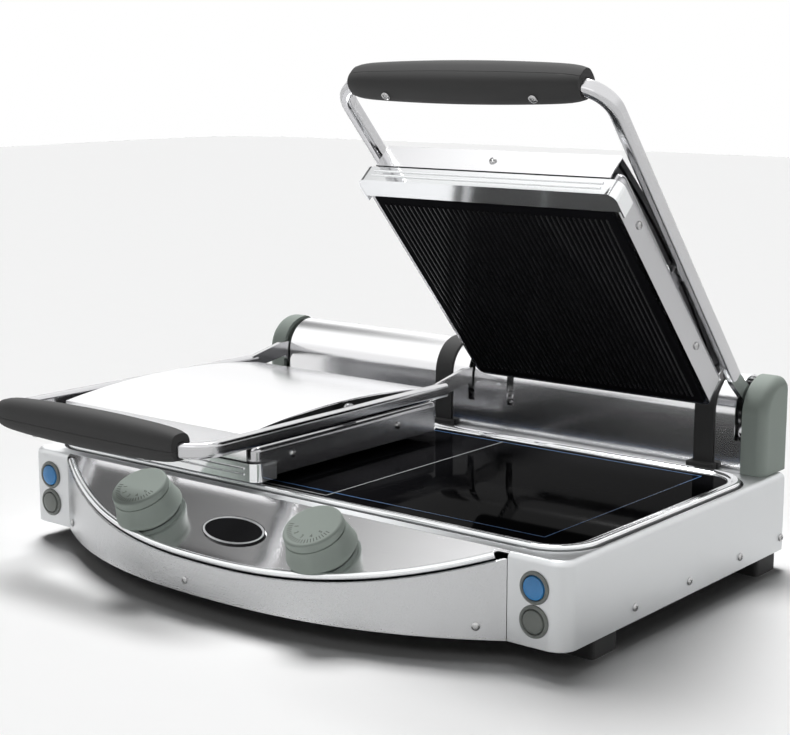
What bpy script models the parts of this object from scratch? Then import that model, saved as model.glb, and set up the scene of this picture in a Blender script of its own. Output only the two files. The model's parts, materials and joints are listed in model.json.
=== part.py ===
"""Double glass-ceramic contact grill, built as separate parts.

The appliance frame is X to the right, Y to the back and Z up, in metres. While the parts are made,
Y = 0 is the front face of the two corner towers and Z = 0 is the worktop. At the end the whole
appliance is moved so that the middle of its footprint is the origin.
Each lid and its arm are modelled shut, then the arm is turned about its hinge to its rest angle.
"""

import math

import bmesh
import bpy
from mathutils import Matrix, Vector

# Overall sizes.
CASING_WIDTH = 0.619
CASING_DEPTH = 0.366
CASING_HEIGHT = 0.072
FOOT_HEIGHT = 0.018

# Sheet metal and fits.
SHEET = 0.0015
GAP = 0.0003
RUN = 0.0003

# Casing.
TOWER_WIDTH = 0.053
TOWER_CORNER = 0.016
REAR_CORNER = 0.005
TOP_BEND = 0.004
FOOT_SIZE = 0.036
FOOT_INSET = 0.004
FOOT_FRONT = 0.047
FOOT_REAR_MARGIN = 0.008

# Bowed front and sloping control panel.
BOW_DEPTH = 0.072
BOW_POWER = 2.4
BOW_STEPS = 24
PANEL_SLOPE = math.radians(28.0)
PANEL_SETBACK = 0.004
TRIM_RADIUS = 0.003
BADGE_SIZE = (0.069, 0.033)
BADGE_THICKNESS = 0.0016

# Knobs and thermostats.
KNOB_SPACING = 0.202
KNOB_DOWN_SLOPE = 0.0465
KNOB_HEIGHT = 0.0255
KNOB_FACE_RADIUS = 0.0255
KNOB_SKIRT_RADIUS = 0.0305
KNOB_LIFT = 0.0045
SPINDLE_RADIUS = 0.003
SPINDLE_REACH = 0.018
PANEL_HOLE_RADIUS = 0.006
THERMOSTAT_SIZE = (0.036, 0.034, 0.026)

# Push buttons.
BUTTON_X = 0.0281
BUTTON_PITCH = 0.0270
BUTTONS_BELOW_MIDDLE = 0.0015
BUTTON_RADIUS = 0.0098
BUTTON_PROUD = 0.0034
BUTTON_TRAVEL = 0.002
COLLAR_WALL = 0.0012
BEZEL_RADIUS = 0.0133
BEZEL_PROUD = 0.0020
SWITCH_DEPTH = 0.022
SWITCH_MARGIN = 0.0015

# Cooktop.
RIM_SIDE_MARGIN = 0.0075
RIM_FRONT = 0.018
RIM_DEPTH = 0.303
RIM_CORNER = 0.040
RIM_WIDTH = 0.012
RIM_RISE = 0.0040
RIM_GROOVE = 0.0028
TRAY_DROP = 0.0034
TRAY_THICKNESS = 0.0024
TRAY_BORDER = 0.030
GLASS_THICKNESS = 0.004
HEATER_SIZE = (0.236, 0.222, 0.024)

# Hinge housing along the back.
HOUSING_FRONT = 0.333
HOUSING_DEPTH = 0.047
HOUSING_HEIGHT = 0.086
HOUSING_FRONT_RADIUS = 0.033
HOUSING_REAR_RADIUS = 0.012
CAP_WIDTH = 0.023
CAP_PROUD = 0.0015
CAP_WALL = 0.0025
CAP_ROUNDING = 0.009
CABLE_BAND_WIDTH = 0.020
CABLE_BAND_FROM_NECK = 0.034
CABLE_BAND_THICKNESS = 0.0018
CABLE_FOOT = (0.028, 0.009, 0.006)

# Hinge.
HINGE_BEHIND_FRONT = 0.017
HINGE_ABOVE_DECK = 0.036
SHAFT_RADIUS = 0.007
SHAFT_OVERHANG = 0.008
HUB_RADIUS = 0.012
NECK_THICKNESS = 0.005
SLOT_CLEARANCE = 0.0015
SLOT_BELOW_HINGE = 0.006
SUPPORT_FROM_NECK = 0.018
SUPPORT_SIZE = (0.004, 0.028, 0.021)
SUPPORT_STRIP = 0.002
SPRING_TURNS = 5
SPRING_WIRE = 0.0013
SPRING_CLEARANCE = 0.0017
SPRING_LENGTH = 0.030
SPRING_OFFSET = 0.060

# Lids and arms, measured with the lid shut; reach is forward of the hinge axis.
LID_SPACING = 0.300
LID_WIDTH = 0.252
LID_REAR_REACH = 0.072
LID_LENGTH = 0.262
LID_CORNER = 0.008
LID_BOTTOM_OVER_GLASS = 0.0077
LID_WALL_HEIGHT = 0.029
PLATE_PROUD = 0.003
PLATE_BORDER = 0.0035
PLATE_FRONT_BORDER = 0.0145
PLATE_THICKNESS = 0.006
RIB_COUNT = 38
RIB_DEPTH = 0.0012
COVER_INSET = 0.007
COVER_FRONT_PROUD = 0.0045
COVER_SKIRT = 0.024
COVER_EDGE_RISE = 0.0112
COVER_CROWN = 0.0097
COVER_SHEET = 0.0014
CORE_INSET = 0.014
GUTTER_SIDE = 0.0050
GUTTER_PROUD = 0.0045
GUTTER_HEIGHT = 0.0145
GUTTER_FLANGE = 0.0200
GUTTER_CORNER = 0.009
GUTTER_RETURN = 0.026
ARM_SIDE_FRONT = 0.0080
ARM_SIDE_REAR = 0.0025
ARM_ABOVE_HINGE = 0.012
ARM_HALF_WIDTH = 0.0055
ARM_HALF_HEIGHT = 0.0070
ARM_BEND = 0.026
NECK_INTO_TUBE = 0.008
NECK_RISE = 0.009
ARM_TUBE_REAR_REACH = 0.066
HANDLE_REACH = 0.413
GRIP_LENGTH = 0.230
GRIP_HALF_HEIGHT = 0.0175
GRIP_HALF_DEPTH = 0.0150
GRIP_END_HALF_HEIGHT = 0.0140
GRIP_RISE = 0.003
PIVOT_REACH = 0.205
STUD_RADIUS = 0.004
STUD_NUT_RADIUS = 0.0065
EAR_THICKNESS = 0.003
EAR_HALF_WIDTH = 0.010

# Cable outlet in the rear wall.
GLAND_BORE = 0.0045
GLAND_FROM_SIDE = 0.124
GLAND_RISE = 0.029

# Screws.
SCREW_HEAD_RADIUS = 0.0036
SCREW_HEAD_HEIGHT = 0.0022
BAND_SCREW_X = 0.236
BAND_SCREW_RISE = 0.011

# Rest angles above the shut position.
REST_OPENING = {"left": 0.0, "right": math.radians(48.0)}
SIDES = {"left": -1.0, "right": 1.0}

# Derived levels and places.
CASE_BOTTOM = FOOT_HEIGHT
DECK_Z = FOOT_HEIGHT + CASING_HEIGHT
HALF_WIDTH = CASING_WIDTH / 2
BOW_HALF = HALF_WIDTH - TOWER_WIDTH
TRAY_TOP = DECK_Z - TRAY_DROP
GLASS_TOP = TRAY_TOP + GAP + GLASS_THICKNESS
HINGE_Y = HOUSING_FRONT + HINGE_BEHIND_FRONT
HINGE_Z = DECK_Z + HINGE_ABOVE_DECK
LID_BOTTOM = GLASS_TOP + LID_BOTTOM_OVER_GLASS - HINGE_Z
LID_TOP = LID_BOTTOM + LID_WALL_HEIGHT
LID_HALF = LID_WIDTH / 2
LID_REAR = -LID_REAR_REACH
LID_FRONT = -LID_REAR_REACH - LID_LENGTH
NECK_X = LID_HALF
SUPPORT_OFFSET = NECK_X - SUPPORT_FROM_NECK
CABLE_BAND_OFFSET = NECK_X - CABLE_BAND_FROM_NECK
SPRING_COIL = SHAFT_RADIUS + SPRING_CLEARANCE + SPRING_WIRE
BUTTON_MIDDLE = CASING_HEIGHT / 2 - BUTTONS_BELOW_MIDDLE
BUTTON_HEIGHTS = {"upper": BUTTON_MIDDLE + BUTTON_PITCH / 2, "lower": BUTTON_MIDDLE - BUTTON_PITCH / 2}
SLOT_HALF = NECK_THICKNESS / 2 + SLOT_CLEARANCE
CAP_INNER = LID_SPACING / 2 + NECK_X + SLOT_HALF

SATIN = ((0.62, 0.63, 0.64), 0.32, 1.0)
POLISHED = ((0.80, 0.81, 0.82), 0.14, 1.0)
DARK_STEEL = ((0.12, 0.12, 0.125), 0.45, 0.6)
BLACK_GLASS = ((0.01, 0.01, 0.012), 0.06, 0.0)
BLACK_PLASTIC = ((0.022, 0.022, 0.023), 0.55, 0.0)
GREY_PLASTIC = ((0.30, 0.34, 0.31), 0.50, 0.0)
BLUE_LENS = ((0.05, 0.27, 0.62), 0.25, 0.0)
RUBBER = ((0.03, 0.03, 0.031), 0.80, 0.0)

MATERIALS = {}


def clear_scene():
    """Remove every object, so that only the appliance is in the scene."""
    for obj in list(bpy.data.objects):
        bpy.data.objects.remove(obj, do_unlink=True)


def collection(name, hidden=False):
    made = bpy.data.collections.new(name)
    bpy.context.scene.collection.children.link(made)
    made.hide_render = hidden
    return made


def material(look):
    """One Principled material for each look, made once."""
    if look in MATERIALS:
        return MATERIALS[look]
    colour, roughness, metallic = look
    made = bpy.data.materials.new("finish")
    made.use_nodes = True
    shader = made.node_tree.nodes["Principled BSDF"]
    shader.inputs["Base Color"].default_value = (*colour, 1.0)
    shader.inputs["Roughness"].default_value = roughness
    shader.inputs["Metallic"].default_value = metallic
    MATERIALS[look] = made
    return made


def link(mesh, name, look=None, cutter=False):
    """Make an object of a mesh, in the parts or the cutters collection."""
    obj = bpy.data.objects.new(name, mesh)
    (CUTTERS if cutter else PARTS).objects.link(obj)
    if look is not None:
        mesh.materials.clear()
        mesh.materials.append(material(look))
    if cutter:
        obj.hide_render = True
        obj.display_type = "WIRE"
    return obj


def mesh_of(bm, name):
    bmesh.ops.recalc_face_normals(bm, faces=bm.faces)
    mesh = bpy.data.meshes.new(name)
    bm.to_mesh(mesh)
    bm.free()
    return mesh


def box_mesh(name, low, high):
    """A box between two corners, in the object's own coordinates."""
    size = [b - a for a, b in zip(low, high)]
    middle = [(a + b) / 2 for a, b in zip(low, high)]
    bm = bmesh.new()
    bmesh.ops.create_cube(bm, size=1.0, matrix=Matrix.Translation(middle) @ Matrix.Diagonal((*size, 1.0)))
    return mesh_of(bm, name)


def turned_mesh(name, profile, steps=32):
    """A solid of revolution about Z, from (radius, height) points that run top to bottom outside."""
    mesh = bpy.data.meshes.new(name)
    points = [(radius, 0.0, height) for radius, height in profile]
    mesh.from_pydata(points, [(i, i + 1) for i in range(len(points) - 1)], [])
    obj = link(mesh, name, cutter=True)
    screw = obj.modifiers.new("turn", "SCREW")
    screw.steps = steps
    screw.render_steps = steps
    screw.use_merge_vertices = True
    screw.merge_threshold = 0.00001
    made = baked_mesh(obj, name)
    bm = bmesh.new()
    bm.from_mesh(made)
    bpy.data.meshes.remove(made)
    bmesh.ops.remove_doubles(bm, verts=bm.verts, dist=0.00001)
    return mesh_of(bm, name)


def baked_mesh(obj, name):
    """The evaluated mesh of an object in world space; the object is removed."""
    bpy.context.view_layer.update()
    graph = bpy.context.evaluated_depsgraph_get()
    mesh = bpy.data.meshes.new_from_object(obj.evaluated_get(graph))
    mesh.transform(obj.matrix_world)
    mesh.name = name
    bpy.data.objects.remove(obj, do_unlink=True)
    return mesh


def welded(mesh):
    """Merge doubled points and turn all faces outwards."""
    bm = bmesh.new()
    bm.from_mesh(mesh)
    bmesh.ops.remove_doubles(bm, verts=bm.verts, dist=0.00001)
    bmesh.ops.recalc_face_normals(bm, faces=bm.faces)
    bm.to_mesh(mesh)
    bm.free()
    return mesh


def flat_mesh(name, outlines, thickness):
    """A flat sheet from closed outlines in X and Y, centred on Z = 0; inner outlines are holes."""
    curve = bpy.data.curves.new(name, "CURVE")
    curve.dimensions = "2D"
    curve.fill_mode = "BOTH"
    curve.extrude = thickness / 2
    for outline in outlines:
        spline = curve.splines.new("POLY")
        spline.points.add(len(outline) - 1)
        for point, (x, y) in zip(spline.points, outline):
            point.co = (x, y, 0.0, 1.0)
        spline.use_cyclic_u = True
    obj = bpy.data.objects.new(name, curve)
    CUTTERS.objects.link(obj)
    return welded(baked_mesh(obj, name))


def plan_mesh(name, outlines, bottom, top):
    """A flat sheet lying in the plan, from one level to another."""
    mesh = flat_mesh(name, outlines, top - bottom)
    mesh.transform(Matrix.Translation((0.0, 0.0, (bottom + top) / 2)))
    return mesh


# Takes a drawing's (Y, Z) and its thickness to the side view, with the thickness along X.
SIDE_VIEW = Matrix(((0.0, 0.0, 1.0, 0.0), (1.0, 0.0, 0.0, 0.0), (0.0, 1.0, 0.0, 0.0), (0.0, 0.0, 0.0, 1.0)))


def side_mesh(name, outlines, left, right):
    """A sheet drawn in the side view (Y, Z), from one X to another."""
    mesh = flat_mesh(name, outlines, right - left)
    mesh.transform(Matrix.Translation(((left + right) / 2, 0.0, 0.0)) @ SIDE_VIEW)
    return mesh


def tube_mesh(name, points, radius, resolution=2, cyclic=False):
    """A round rod through the points, with closed ends."""
    curve = bpy.data.curves.new(name, "CURVE")
    curve.dimensions = "3D"
    curve.bevel_depth = radius
    curve.bevel_resolution = resolution
    curve.use_fill_caps = True
    spline = curve.splines.new("POLY")
    spline.points.add(len(points) - 1)
    for point, place in zip(spline.points, points):
        point.co = (*place, 1.0)
    spline.use_cyclic_u = cyclic
    obj = bpy.data.objects.new(name, curve)
    CUTTERS.objects.link(obj)
    return welded(baked_mesh(obj, name))


def joined(meshes, name):
    """Several meshes as one mesh of separate solids."""
    bm = bmesh.new()
    for mesh in meshes:
        bm.from_mesh(mesh)
    return mesh_of(bm, name)


def moved(mesh, offset):
    mesh.transform(Matrix.Translation(offset))
    return mesh


def cut(obj, mesh, operation="DIFFERENCE"):
    """Cut a mesh out of an object, or join it, with a Boolean whose helper stays as a wire cutter."""
    helper = link(mesh, obj.name + "_helper", cutter=True)
    helper.parent = obj.parent
    helper.location = obj.location
    boolean = obj.modifiers.new(operation.lower(), "BOOLEAN")
    boolean.operation = operation
    boolean.solver = "EXACT"
    boolean.object = helper


def bevelled(mesh, width, segments, chosen):
    """Round the sharp edges for which chosen(edge) is true."""
    bm = bmesh.new()
    bm.from_mesh(mesh)
    bmesh.ops.dissolve_limit(bm, angle_limit=0.001, verts=bm.verts, edges=bm.edges)
    edges = [edge for edge in bm.edges if edge.calc_face_angle(0.0) > 0.5 and chosen(edge)]
    bmesh.ops.bevel(bm, geom=edges, offset=width, segments=segments, profile=0.5, affect="EDGES")
    bmesh.ops.remove_doubles(bm, verts=bm.verts, dist=0.00001)
    bmesh.ops.recalc_face_normals(bm, faces=bm.faces)
    bm.to_mesh(mesh)
    bm.free()
    return mesh


def smooth(obj, angle=32.0):
    obj.data.shade_smooth()
    obj.data.set_sharp_from_angle(angle=math.radians(angle))


def corner_arc(cx, cy, radius, start, end, steps):
    """Points of an arc in degrees, both ends included."""
    turn = [math.radians(start + (end - start) * i / steps) for i in range(steps + 1)]
    return [(cx + radius * math.cos(a), cy + radius * math.sin(a)) for a in turn]


def rounded_rectangle(left, right, front, rear, front_radius, rear_radius=None, steps=5):
    """An outline that runs anticlockwise from the front left."""
    back = front_radius if rear_radius is None else rear_radius
    near = front_radius
    points = corner_arc(left + near, front + near, near, 180, 270, steps)
    points += corner_arc(right - near, front + near, near, 270, 360, steps)
    points += corner_arc(right - back, rear - back, back, 0, 90, steps)
    points += corner_arc(left + back, rear - back, back, 90, 180, steps)
    return points


def circle(cx, cy, radius, steps=24):
    return [
        (cx + radius * math.cos(2 * math.pi * i / steps), cy + radius * math.sin(2 * math.pi * i / steps))
        for i in range(steps)
    ]


def bow(x, inward=0.0):
    """The bowed front's plan point for one X, moved inwards at right angles to the curve."""
    share = min(abs(x) / BOW_HALF, 1.0)
    y = -BOW_DEPTH * (1.0 - share**BOW_POWER)
    slope = math.copysign(BOW_DEPTH * BOW_POWER * share ** (BOW_POWER - 1.0) / BOW_HALF, x)
    length = math.hypot(1.0, slope)
    return x - inward * slope / length, y + inward / length


def bow_points(inward, end_gap):
    """The bow from left to right at an inward offset, kept between the towers and off their faces."""
    limit = BOW_HALF - end_gap
    steps = [-limit + 2 * limit * i / BOW_STEPS for i in range(BOW_STEPS + 1)]
    return [bow(x, inward) for x in steps]


def panel_height(y):
    """Height of the sloping panel's upper face at a given Y."""
    return DECK_Z - math.tan(PANEL_SLOPE) * (PANEL_SETBACK - y)


def panel_frame():
    """The panel's own frame: origin at the top edge, Y up the slope and Z square to the panel."""
    return Matrix.Translation((0.0, PANEL_SETBACK, DECK_Z)) @ Matrix.Rotation(PANEL_SLOPE, 4, "X")


def housing_outline(offset, bottom):
    """The hinge housing's side view from the front foot over the top to the rear foot."""
    front = HOUSING_FRONT - offset
    rear = HOUSING_FRONT + HOUSING_DEPTH + offset
    top = DECK_Z + HOUSING_HEIGHT + offset
    near = HOUSING_FRONT_RADIUS + offset
    back = HOUSING_REAR_RADIUS + offset
    points = [(front, bottom)]
    points += corner_arc(front + near, top - near, near, 180, 90, 8)
    points += corner_arc(rear - back, top - back, back, 90, 0, 4)
    return points + [(rear, bottom)]


def lid_centre(side):
    return SIDES[side] * LID_SPACING / 2


def add_casing():
    outline = rounded_rectangle(-HALF_WIDTH, HALF_WIDTH, 0.0, CASING_DEPTH, TOWER_CORNER, REAR_CORNER)
    inner = rounded_rectangle(
        -HALF_WIDTH + SHEET, HALF_WIDTH - SHEET, SHEET, CASING_DEPTH - SHEET, TOWER_CORNER - SHEET, REAR_CORNER - SHEET
    )
    shell = plan_mesh("casing_shell", [outline], CASE_BOTTOM, DECK_Z)
    shell = bevelled(shell, TOP_BEND, 3, lambda edge: all(v.co.z > DECK_Z - GAP for v in edge.verts))
    obj = link(shell, "casing_shell", SATIN)
    hollow = plan_mesh("hollow", [inner], CASE_BOTTOM - SHEET, DECK_Z - SHEET)
    low = DECK_Z - SHEET - GAP
    hollow = bevelled(hollow, TOP_BEND - SHEET, 2, lambda edge: all(v.co.z > low for v in edge.verts))
    cut(obj, hollow)
    groove = rim_outline(-RIM_GROOVE)
    cut(obj, plan_mesh("cooktop_hole", [groove], DECK_Z - 2 * SHEET, DECK_Z + SHEET))
    recess_back = PANEL_SETBACK + SHEET * math.sin(PANEL_SLOPE)
    cut(obj, box_mesh("front", (-BOW_HALF, -SHEET, 0.0), (BOW_HALF, recess_back, DECK_Z + SHEET)))
    for x in (-HALF_WIDTH + BUTTON_X, HALF_WIDTH - BUTTON_X):
        for rise in BUTTON_HEIGHTS.values():
            hole = flat_mesh("hole", [circle(x, -CASE_BOTTOM - rise, collar_radius() + GAP)], 4 * SHEET)
            hole.transform(Matrix.Rotation(math.radians(-90.0), 4, "X"))
            cut(obj, hole)
    x, z = gland_place()
    outlet = flat_mesh("outlet", [circle(x, -z, GLAND_BORE, 20)], 4 * SHEET)
    outlet.transform(Matrix.Translation((0.0, CASING_DEPTH, 0.0)) @ Matrix.Rotation(math.radians(-90.0), 4, "X"))
    cut(obj, outlet)
    return obj


def add_front_band():
    outer = bow_points(0.0, GAP)
    inner = bow_points(SHEET, GAP)
    band = plan_mesh("front_band", [outer + inner[::-1]], CASE_BOTTOM, DECK_Z)
    obj = link(band, "front_band", SATIN)
    above = box_mesh("above", (-CASING_WIDTH, -CASING_WIDTH, 0.0), (CASING_WIDTH, CASING_WIDTH, CASING_HEIGHT))
    clearance = 2 * TRIM_RADIUS / math.cos(PANEL_SLOPE) + GAP
    above.transform(Matrix.Translation((0.0, 0.0, TRIM_RADIUS - clearance)) @ panel_frame())
    cut(obj, above)
    beyond = box_mesh("beyond", (-CASING_WIDTH, -GAP, 0.0), (CASING_WIDTH, BOW_DEPTH, DECK_Z + SHEET))
    cut(obj, beyond)
    return obj


def add_band_trim():
    points = []
    for x, y in bow_points(TRIM_RADIUS, TRIM_RADIUS + GAP):
        if y < -TRIM_RADIUS:
            points.append((x, y, panel_height(y)))
    return link(tube_mesh("band_trim", points, TRIM_RADIUS), "band_trim", POLISHED)


def knob_places():
    """Panel places of the two knobs, in the panel's own X and Y."""
    return {side: (sign * KNOB_SPACING / 2, -KNOB_DOWN_SLOPE) for side, sign in SIDES.items()}


def add_control_panel():
    reach = 2 * TRIM_RADIUS + 2 * GAP
    edge = []
    for x, y in bow_points(reach, reach):
        if y < PANEL_SETBACK - 2 * GAP and abs(x) < BOW_HALF - GAP:
            edge.append((x, (y - PANEL_SETBACK) / math.cos(PANEL_SLOPE)))
    limit = BOW_HALF - GAP
    outline = [(-limit, -GAP), (-limit, edge[0][1])] + edge + [(limit, edge[-1][1]), (limit, -GAP)]
    holes = [circle(x, y, PANEL_HOLE_RADIUS, 16) for x, y in knob_places().values()]
    panel = flat_mesh("control_panel", [outline] + holes, SHEET)
    panel.transform(panel_frame() @ Matrix.Translation((0.0, 0.0, -SHEET / 2)))
    return link(panel, "control_panel", SATIN)


def add_badge():
    width, height = BADGE_SIZE
    oval = [(x * width / 2, y * height / 2) for x, y in circle(0.0, 0.0, 1.0, 40)]
    badge = flat_mesh("badge", [oval], BADGE_THICKNESS)
    centre = Vector((0.0, -KNOB_DOWN_SLOPE, GAP + BADGE_THICKNESS / 2))
    badge.transform(panel_frame() @ Matrix.Translation(centre))
    return link(badge, "badge", BLACK_GLASS)


def add_base_plate():
    inset = SHEET + GAP
    curve = [point for point in bow_points(inset, inset) if point[1] < -inset]
    curve = [(-BOW_HALF + inset, inset)] + curve + [(BOW_HALF - inset, inset)]
    sides = rounded_rectangle(
        -HALF_WIDTH + inset, HALF_WIDTH - inset, inset, CASING_DEPTH - inset, TOWER_CORNER - inset, REAR_CORNER - inset
    )
    corner_steps = len(sides) // 4
    outline = sides[:corner_steps] + curve + sides[corner_steps:]
    return link(plan_mesh("base_plate", [outline], CASE_BOTTOM, CASE_BOTTOM + SHEET), "base_plate", DARK_STEEL)


def foot_places():
    x = HALF_WIDTH - FOOT_INSET - FOOT_SIZE / 2
    front = FOOT_FRONT + FOOT_SIZE / 2
    rear = CASING_DEPTH - FOOT_REAR_MARGIN - FOOT_SIZE / 2
    return [(sx * x, y) for sx in (-1.0, 1.0) for y in (front, rear)]


def add_feet():
    half = FOOT_SIZE / 2
    names = ("front_left_foot", "rear_left_foot", "front_right_foot", "rear_right_foot")
    for name, (x, y) in zip(names, foot_places()):
        outline = rounded_rectangle(x - half, x + half, y - half, y + half, SHEET * 2, steps=2)
        link(plan_mesh(name, [outline], 0.0, FOOT_HEIGHT - GAP), name, RUBBER)


def rim_outline(inset):
    """The cooktop's rounded outline, moved inwards by inset."""
    side = HALF_WIDTH - RIM_SIDE_MARGIN - inset
    front = RIM_FRONT + inset
    rear = RIM_FRONT + RIM_DEPTH - inset
    return rounded_rectangle(-side, side, front, rear, RIM_CORNER - inset, steps=8)


def add_deck_rim():
    """The pressed bead that frames the glass, with its upper edges rounded."""
    bottom = TRAY_TOP + GAP
    ring = plan_mesh("deck_rim", [rim_outline(0.0), rim_outline(RIM_WIDTH)], bottom, DECK_Z + RIM_RISE)
    top = DECK_Z + RIM_RISE - GAP / 2
    ring = bevelled(ring, RIM_RISE - GAP, 3, lambda edge: all(v.co.z > top for v in edge.verts))
    return link(ring, "deck_rim", POLISHED)


def add_cooktop_glass():
    outline = rim_outline(RIM_WIDTH + GAP)
    bottom = TRAY_TOP + GAP
    return link(plan_mesh("cooktop_glass", [outline], bottom, GLASS_TOP), "cooktop_glass", BLACK_GLASS)


def add_cooktop_tray():
    outline = rim_outline(-RIM_GROOVE)
    opening = rim_outline(TRAY_BORDER)
    tray = plan_mesh("cooktop_tray", [outline, opening], TRAY_TOP - TRAY_THICKNESS, TRAY_TOP)
    return link(tray, "cooktop_tray", DARK_STEEL)


def add_lower_heater(side):
    width, depth, height = HEATER_SIZE
    centre_x = SIDES[side] * (width / 2 + 4 * SHEET)
    centre_y = RIM_FRONT + RIM_DEPTH / 2
    outline = rounded_rectangle(
        centre_x - width / 2, centre_x + width / 2, centre_y - depth / 2, centre_y + depth / 2, RIM_WIDTH, steps=3
    )
    top = TRAY_TOP - 0.0002
    name = side + "_lower_heater"
    return link(plan_mesh(name, [outline], top - height, top), name, DARK_STEEL)


def add_thermostat(side):
    x, y = knob_places()[side]
    width, depth, height = THERMOSTAT_SIZE
    low = (x - width / 2, y - depth / 2, -SHEET - GAP - height)
    high = (x + width / 2, y + depth / 2, -SHEET - GAP)
    name = side + "_thermostat"
    body = box_mesh(name, low, high)
    body.transform(panel_frame())
    obj = link(body, name, DARK_STEEL)
    bore = plan_mesh("bore", [circle(x, y, SPINDLE_RADIUS + RUN, 16)], -height / 2, height)
    bore.transform(panel_frame())
    cut(obj, bore)
    return obj


def add_knob(side):
    """A turned knob with a flat face, a groove ring and a flared skirt, and its spindle."""
    x, y = knob_places()[side]
    pivot = bpy.data.objects.new(side + "_knob_axis", None)
    PARTS.objects.link(pivot)
    pivot.matrix_world = panel_frame() @ Matrix.Translation((x, y, 0.0))
    top = KNOB_LIFT + KNOB_HEIGHT
    face, skirt = KNOB_FACE_RADIUS, KNOB_SKIRT_RADIUS
    groove = KNOB_LIFT + KNOB_HEIGHT * 0.70
    bore = SPINDLE_RADIUS + RUN
    profile = [
        (0.0, top),
        (face - 0.0012, top),
        (face, top - 0.0012),
        (face + 0.0004, groove + 0.0006),
        (face - 0.0004, groove),
        (face + 0.0004, groove - 0.0006),
        (face + 0.0012, KNOB_LIFT + KNOB_HEIGHT * 0.42),
        (face + 0.0030, KNOB_LIFT + KNOB_HEIGHT * 0.18),
        (skirt, KNOB_LIFT + 0.0010),
        (skirt - 0.0008, KNOB_LIFT),
        (bore, KNOB_LIFT),
        (bore, SPINDLE_REACH + RUN),
        (0.0, SPINDLE_REACH + RUN),
    ]
    knob = link(turned_mesh(side + "_knob", profile, 32), side + "_knob", GREY_PLASTIC)
    depth = SHEET + GAP + THERMOSTAT_SIZE[2] / 3
    rod = [(0.0, SPINDLE_REACH), (SPINDLE_RADIUS, SPINDLE_REACH), (SPINDLE_RADIUS, -depth), (0.0, -depth)]
    spindle = link(turned_mesh(side + "_knob_spindle", rod, 16), side + "_knob_spindle", SATIN)
    for obj in (knob, spindle):
        obj.parent = pivot
        smooth(obj)
    return pivot


def button_name(side, level):
    return f"{side}_{level}_button"


def front_turned(name, profile, x, z, steps=24):
    """A turned piece whose axis runs front to back; profile heights count forwards from Y = 0."""
    mesh = turned_mesh(name, profile, steps)
    mesh.transform(Matrix.Translation((x, 0.0, z)) @ Matrix.Rotation(math.radians(90.0), 4, "X"))
    return mesh


def collar_radius():
    """Outer radius of a switch's collar, which the casing's holes clear."""
    return BUTTON_RADIUS + 2 * GAP + COLLAR_WALL


def button_seat():
    """Height of a switch block's front face, behind a pushed button."""
    return -(SHEET + BUTTON_TRAVEL + 4 * GAP)


def add_switch(side):
    """The block behind one tower's two buttons; its collars come through the wall to round bezels."""
    x = SIDES[side] * (HALF_WIDTH - BUTTON_X)
    inner = BUTTON_RADIUS + 2 * GAP
    outer = collar_radius()
    seat = button_seat()
    heights = sorted(BUTTON_HEIGHTS.values())
    half = outer + SWITCH_MARGIN
    lowest = max(heights[0] - half, 2 * SHEET + GAP)
    highest = min(heights[-1] + half, CASING_HEIGHT - SHEET - 2 * GAP)
    low = (x - half, -seat, CASE_BOTTOM + lowest)
    high = (x + half, -seat + SWITCH_DEPTH, CASE_BOTTOM + highest)
    name = side + "_switch_block"
    obj = link(box_mesh(name, low, high), name, GREY_PLASTIC)
    for rise in heights:
        ring = [
            (inner, BEZEL_PROUD * 0.7),
            (inner + 0.0008, BEZEL_PROUD),
            (BEZEL_RADIUS - 0.0010, BEZEL_PROUD * 0.8),
            (BEZEL_RADIUS, GAP),
            (outer, GAP),
            (outer, seat - SWITCH_MARGIN),
            (inner, seat - SWITCH_MARGIN),
            (inner, BEZEL_PROUD * 0.7),
        ]
        cut(obj, front_turned("collar", ring, x, CASE_BOTTOM + rise), "UNION")
    smooth(obj)


def add_button(side, level):
    """One push button on its own slide axis."""
    back = button_seat() + 2 * GAP + BUTTON_TRAVEL
    cap = [
        (0.0, BUTTON_PROUD),
        (BUTTON_RADIUS * 0.75, BUTTON_PROUD - 0.0003),
        (BUTTON_RADIUS, BUTTON_PROUD - 0.0014),
        (BUTTON_RADIUS, back),
        (0.0, back),
    ]
    name = button_name(side, level)
    axis = bpy.data.objects.new(name + "_axis", None)
    PARTS.objects.link(axis)
    axis.location = (SIDES[side] * (HALF_WIDTH - BUTTON_X), 0.0, CASE_BOTTOM + BUTTON_HEIGHTS[level])
    look = BLUE_LENS if level == "upper" else GREY_PLASTIC
    button = link(front_turned(name, cap, 0.0, 0.0), name, look)
    button.parent = axis
    smooth(button)


def add_hinge_cover():
    bottom = DECK_Z + GAP
    outer = housing_outline(0.0, bottom)
    inner = housing_outline(-SHEET, bottom)
    half = CAP_INNER - GAP
    cover = link(side_mesh("hinge_cover", [outer + inner[::-1]], -half, half), "hinge_cover", SATIN)
    low_y = HOUSING_FRONT - SHEET
    high_y = HOUSING_FRONT + HOUSING_DEPTH - 2 * SHEET
    low_z = HINGE_Z - SLOT_BELOW_HINGE
    high_z = DECK_Z + HOUSING_HEIGHT + SHEET
    for side in SIDES:
        for neck in (-NECK_X, NECK_X):
            x = lid_centre(side) + neck
            cut(cover, box_mesh("slot", (x - SLOT_HALF, low_y, low_z), (x + SLOT_HALF + GAP / 2, high_y, high_z)))
    smooth(cover)
    return cover


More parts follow.
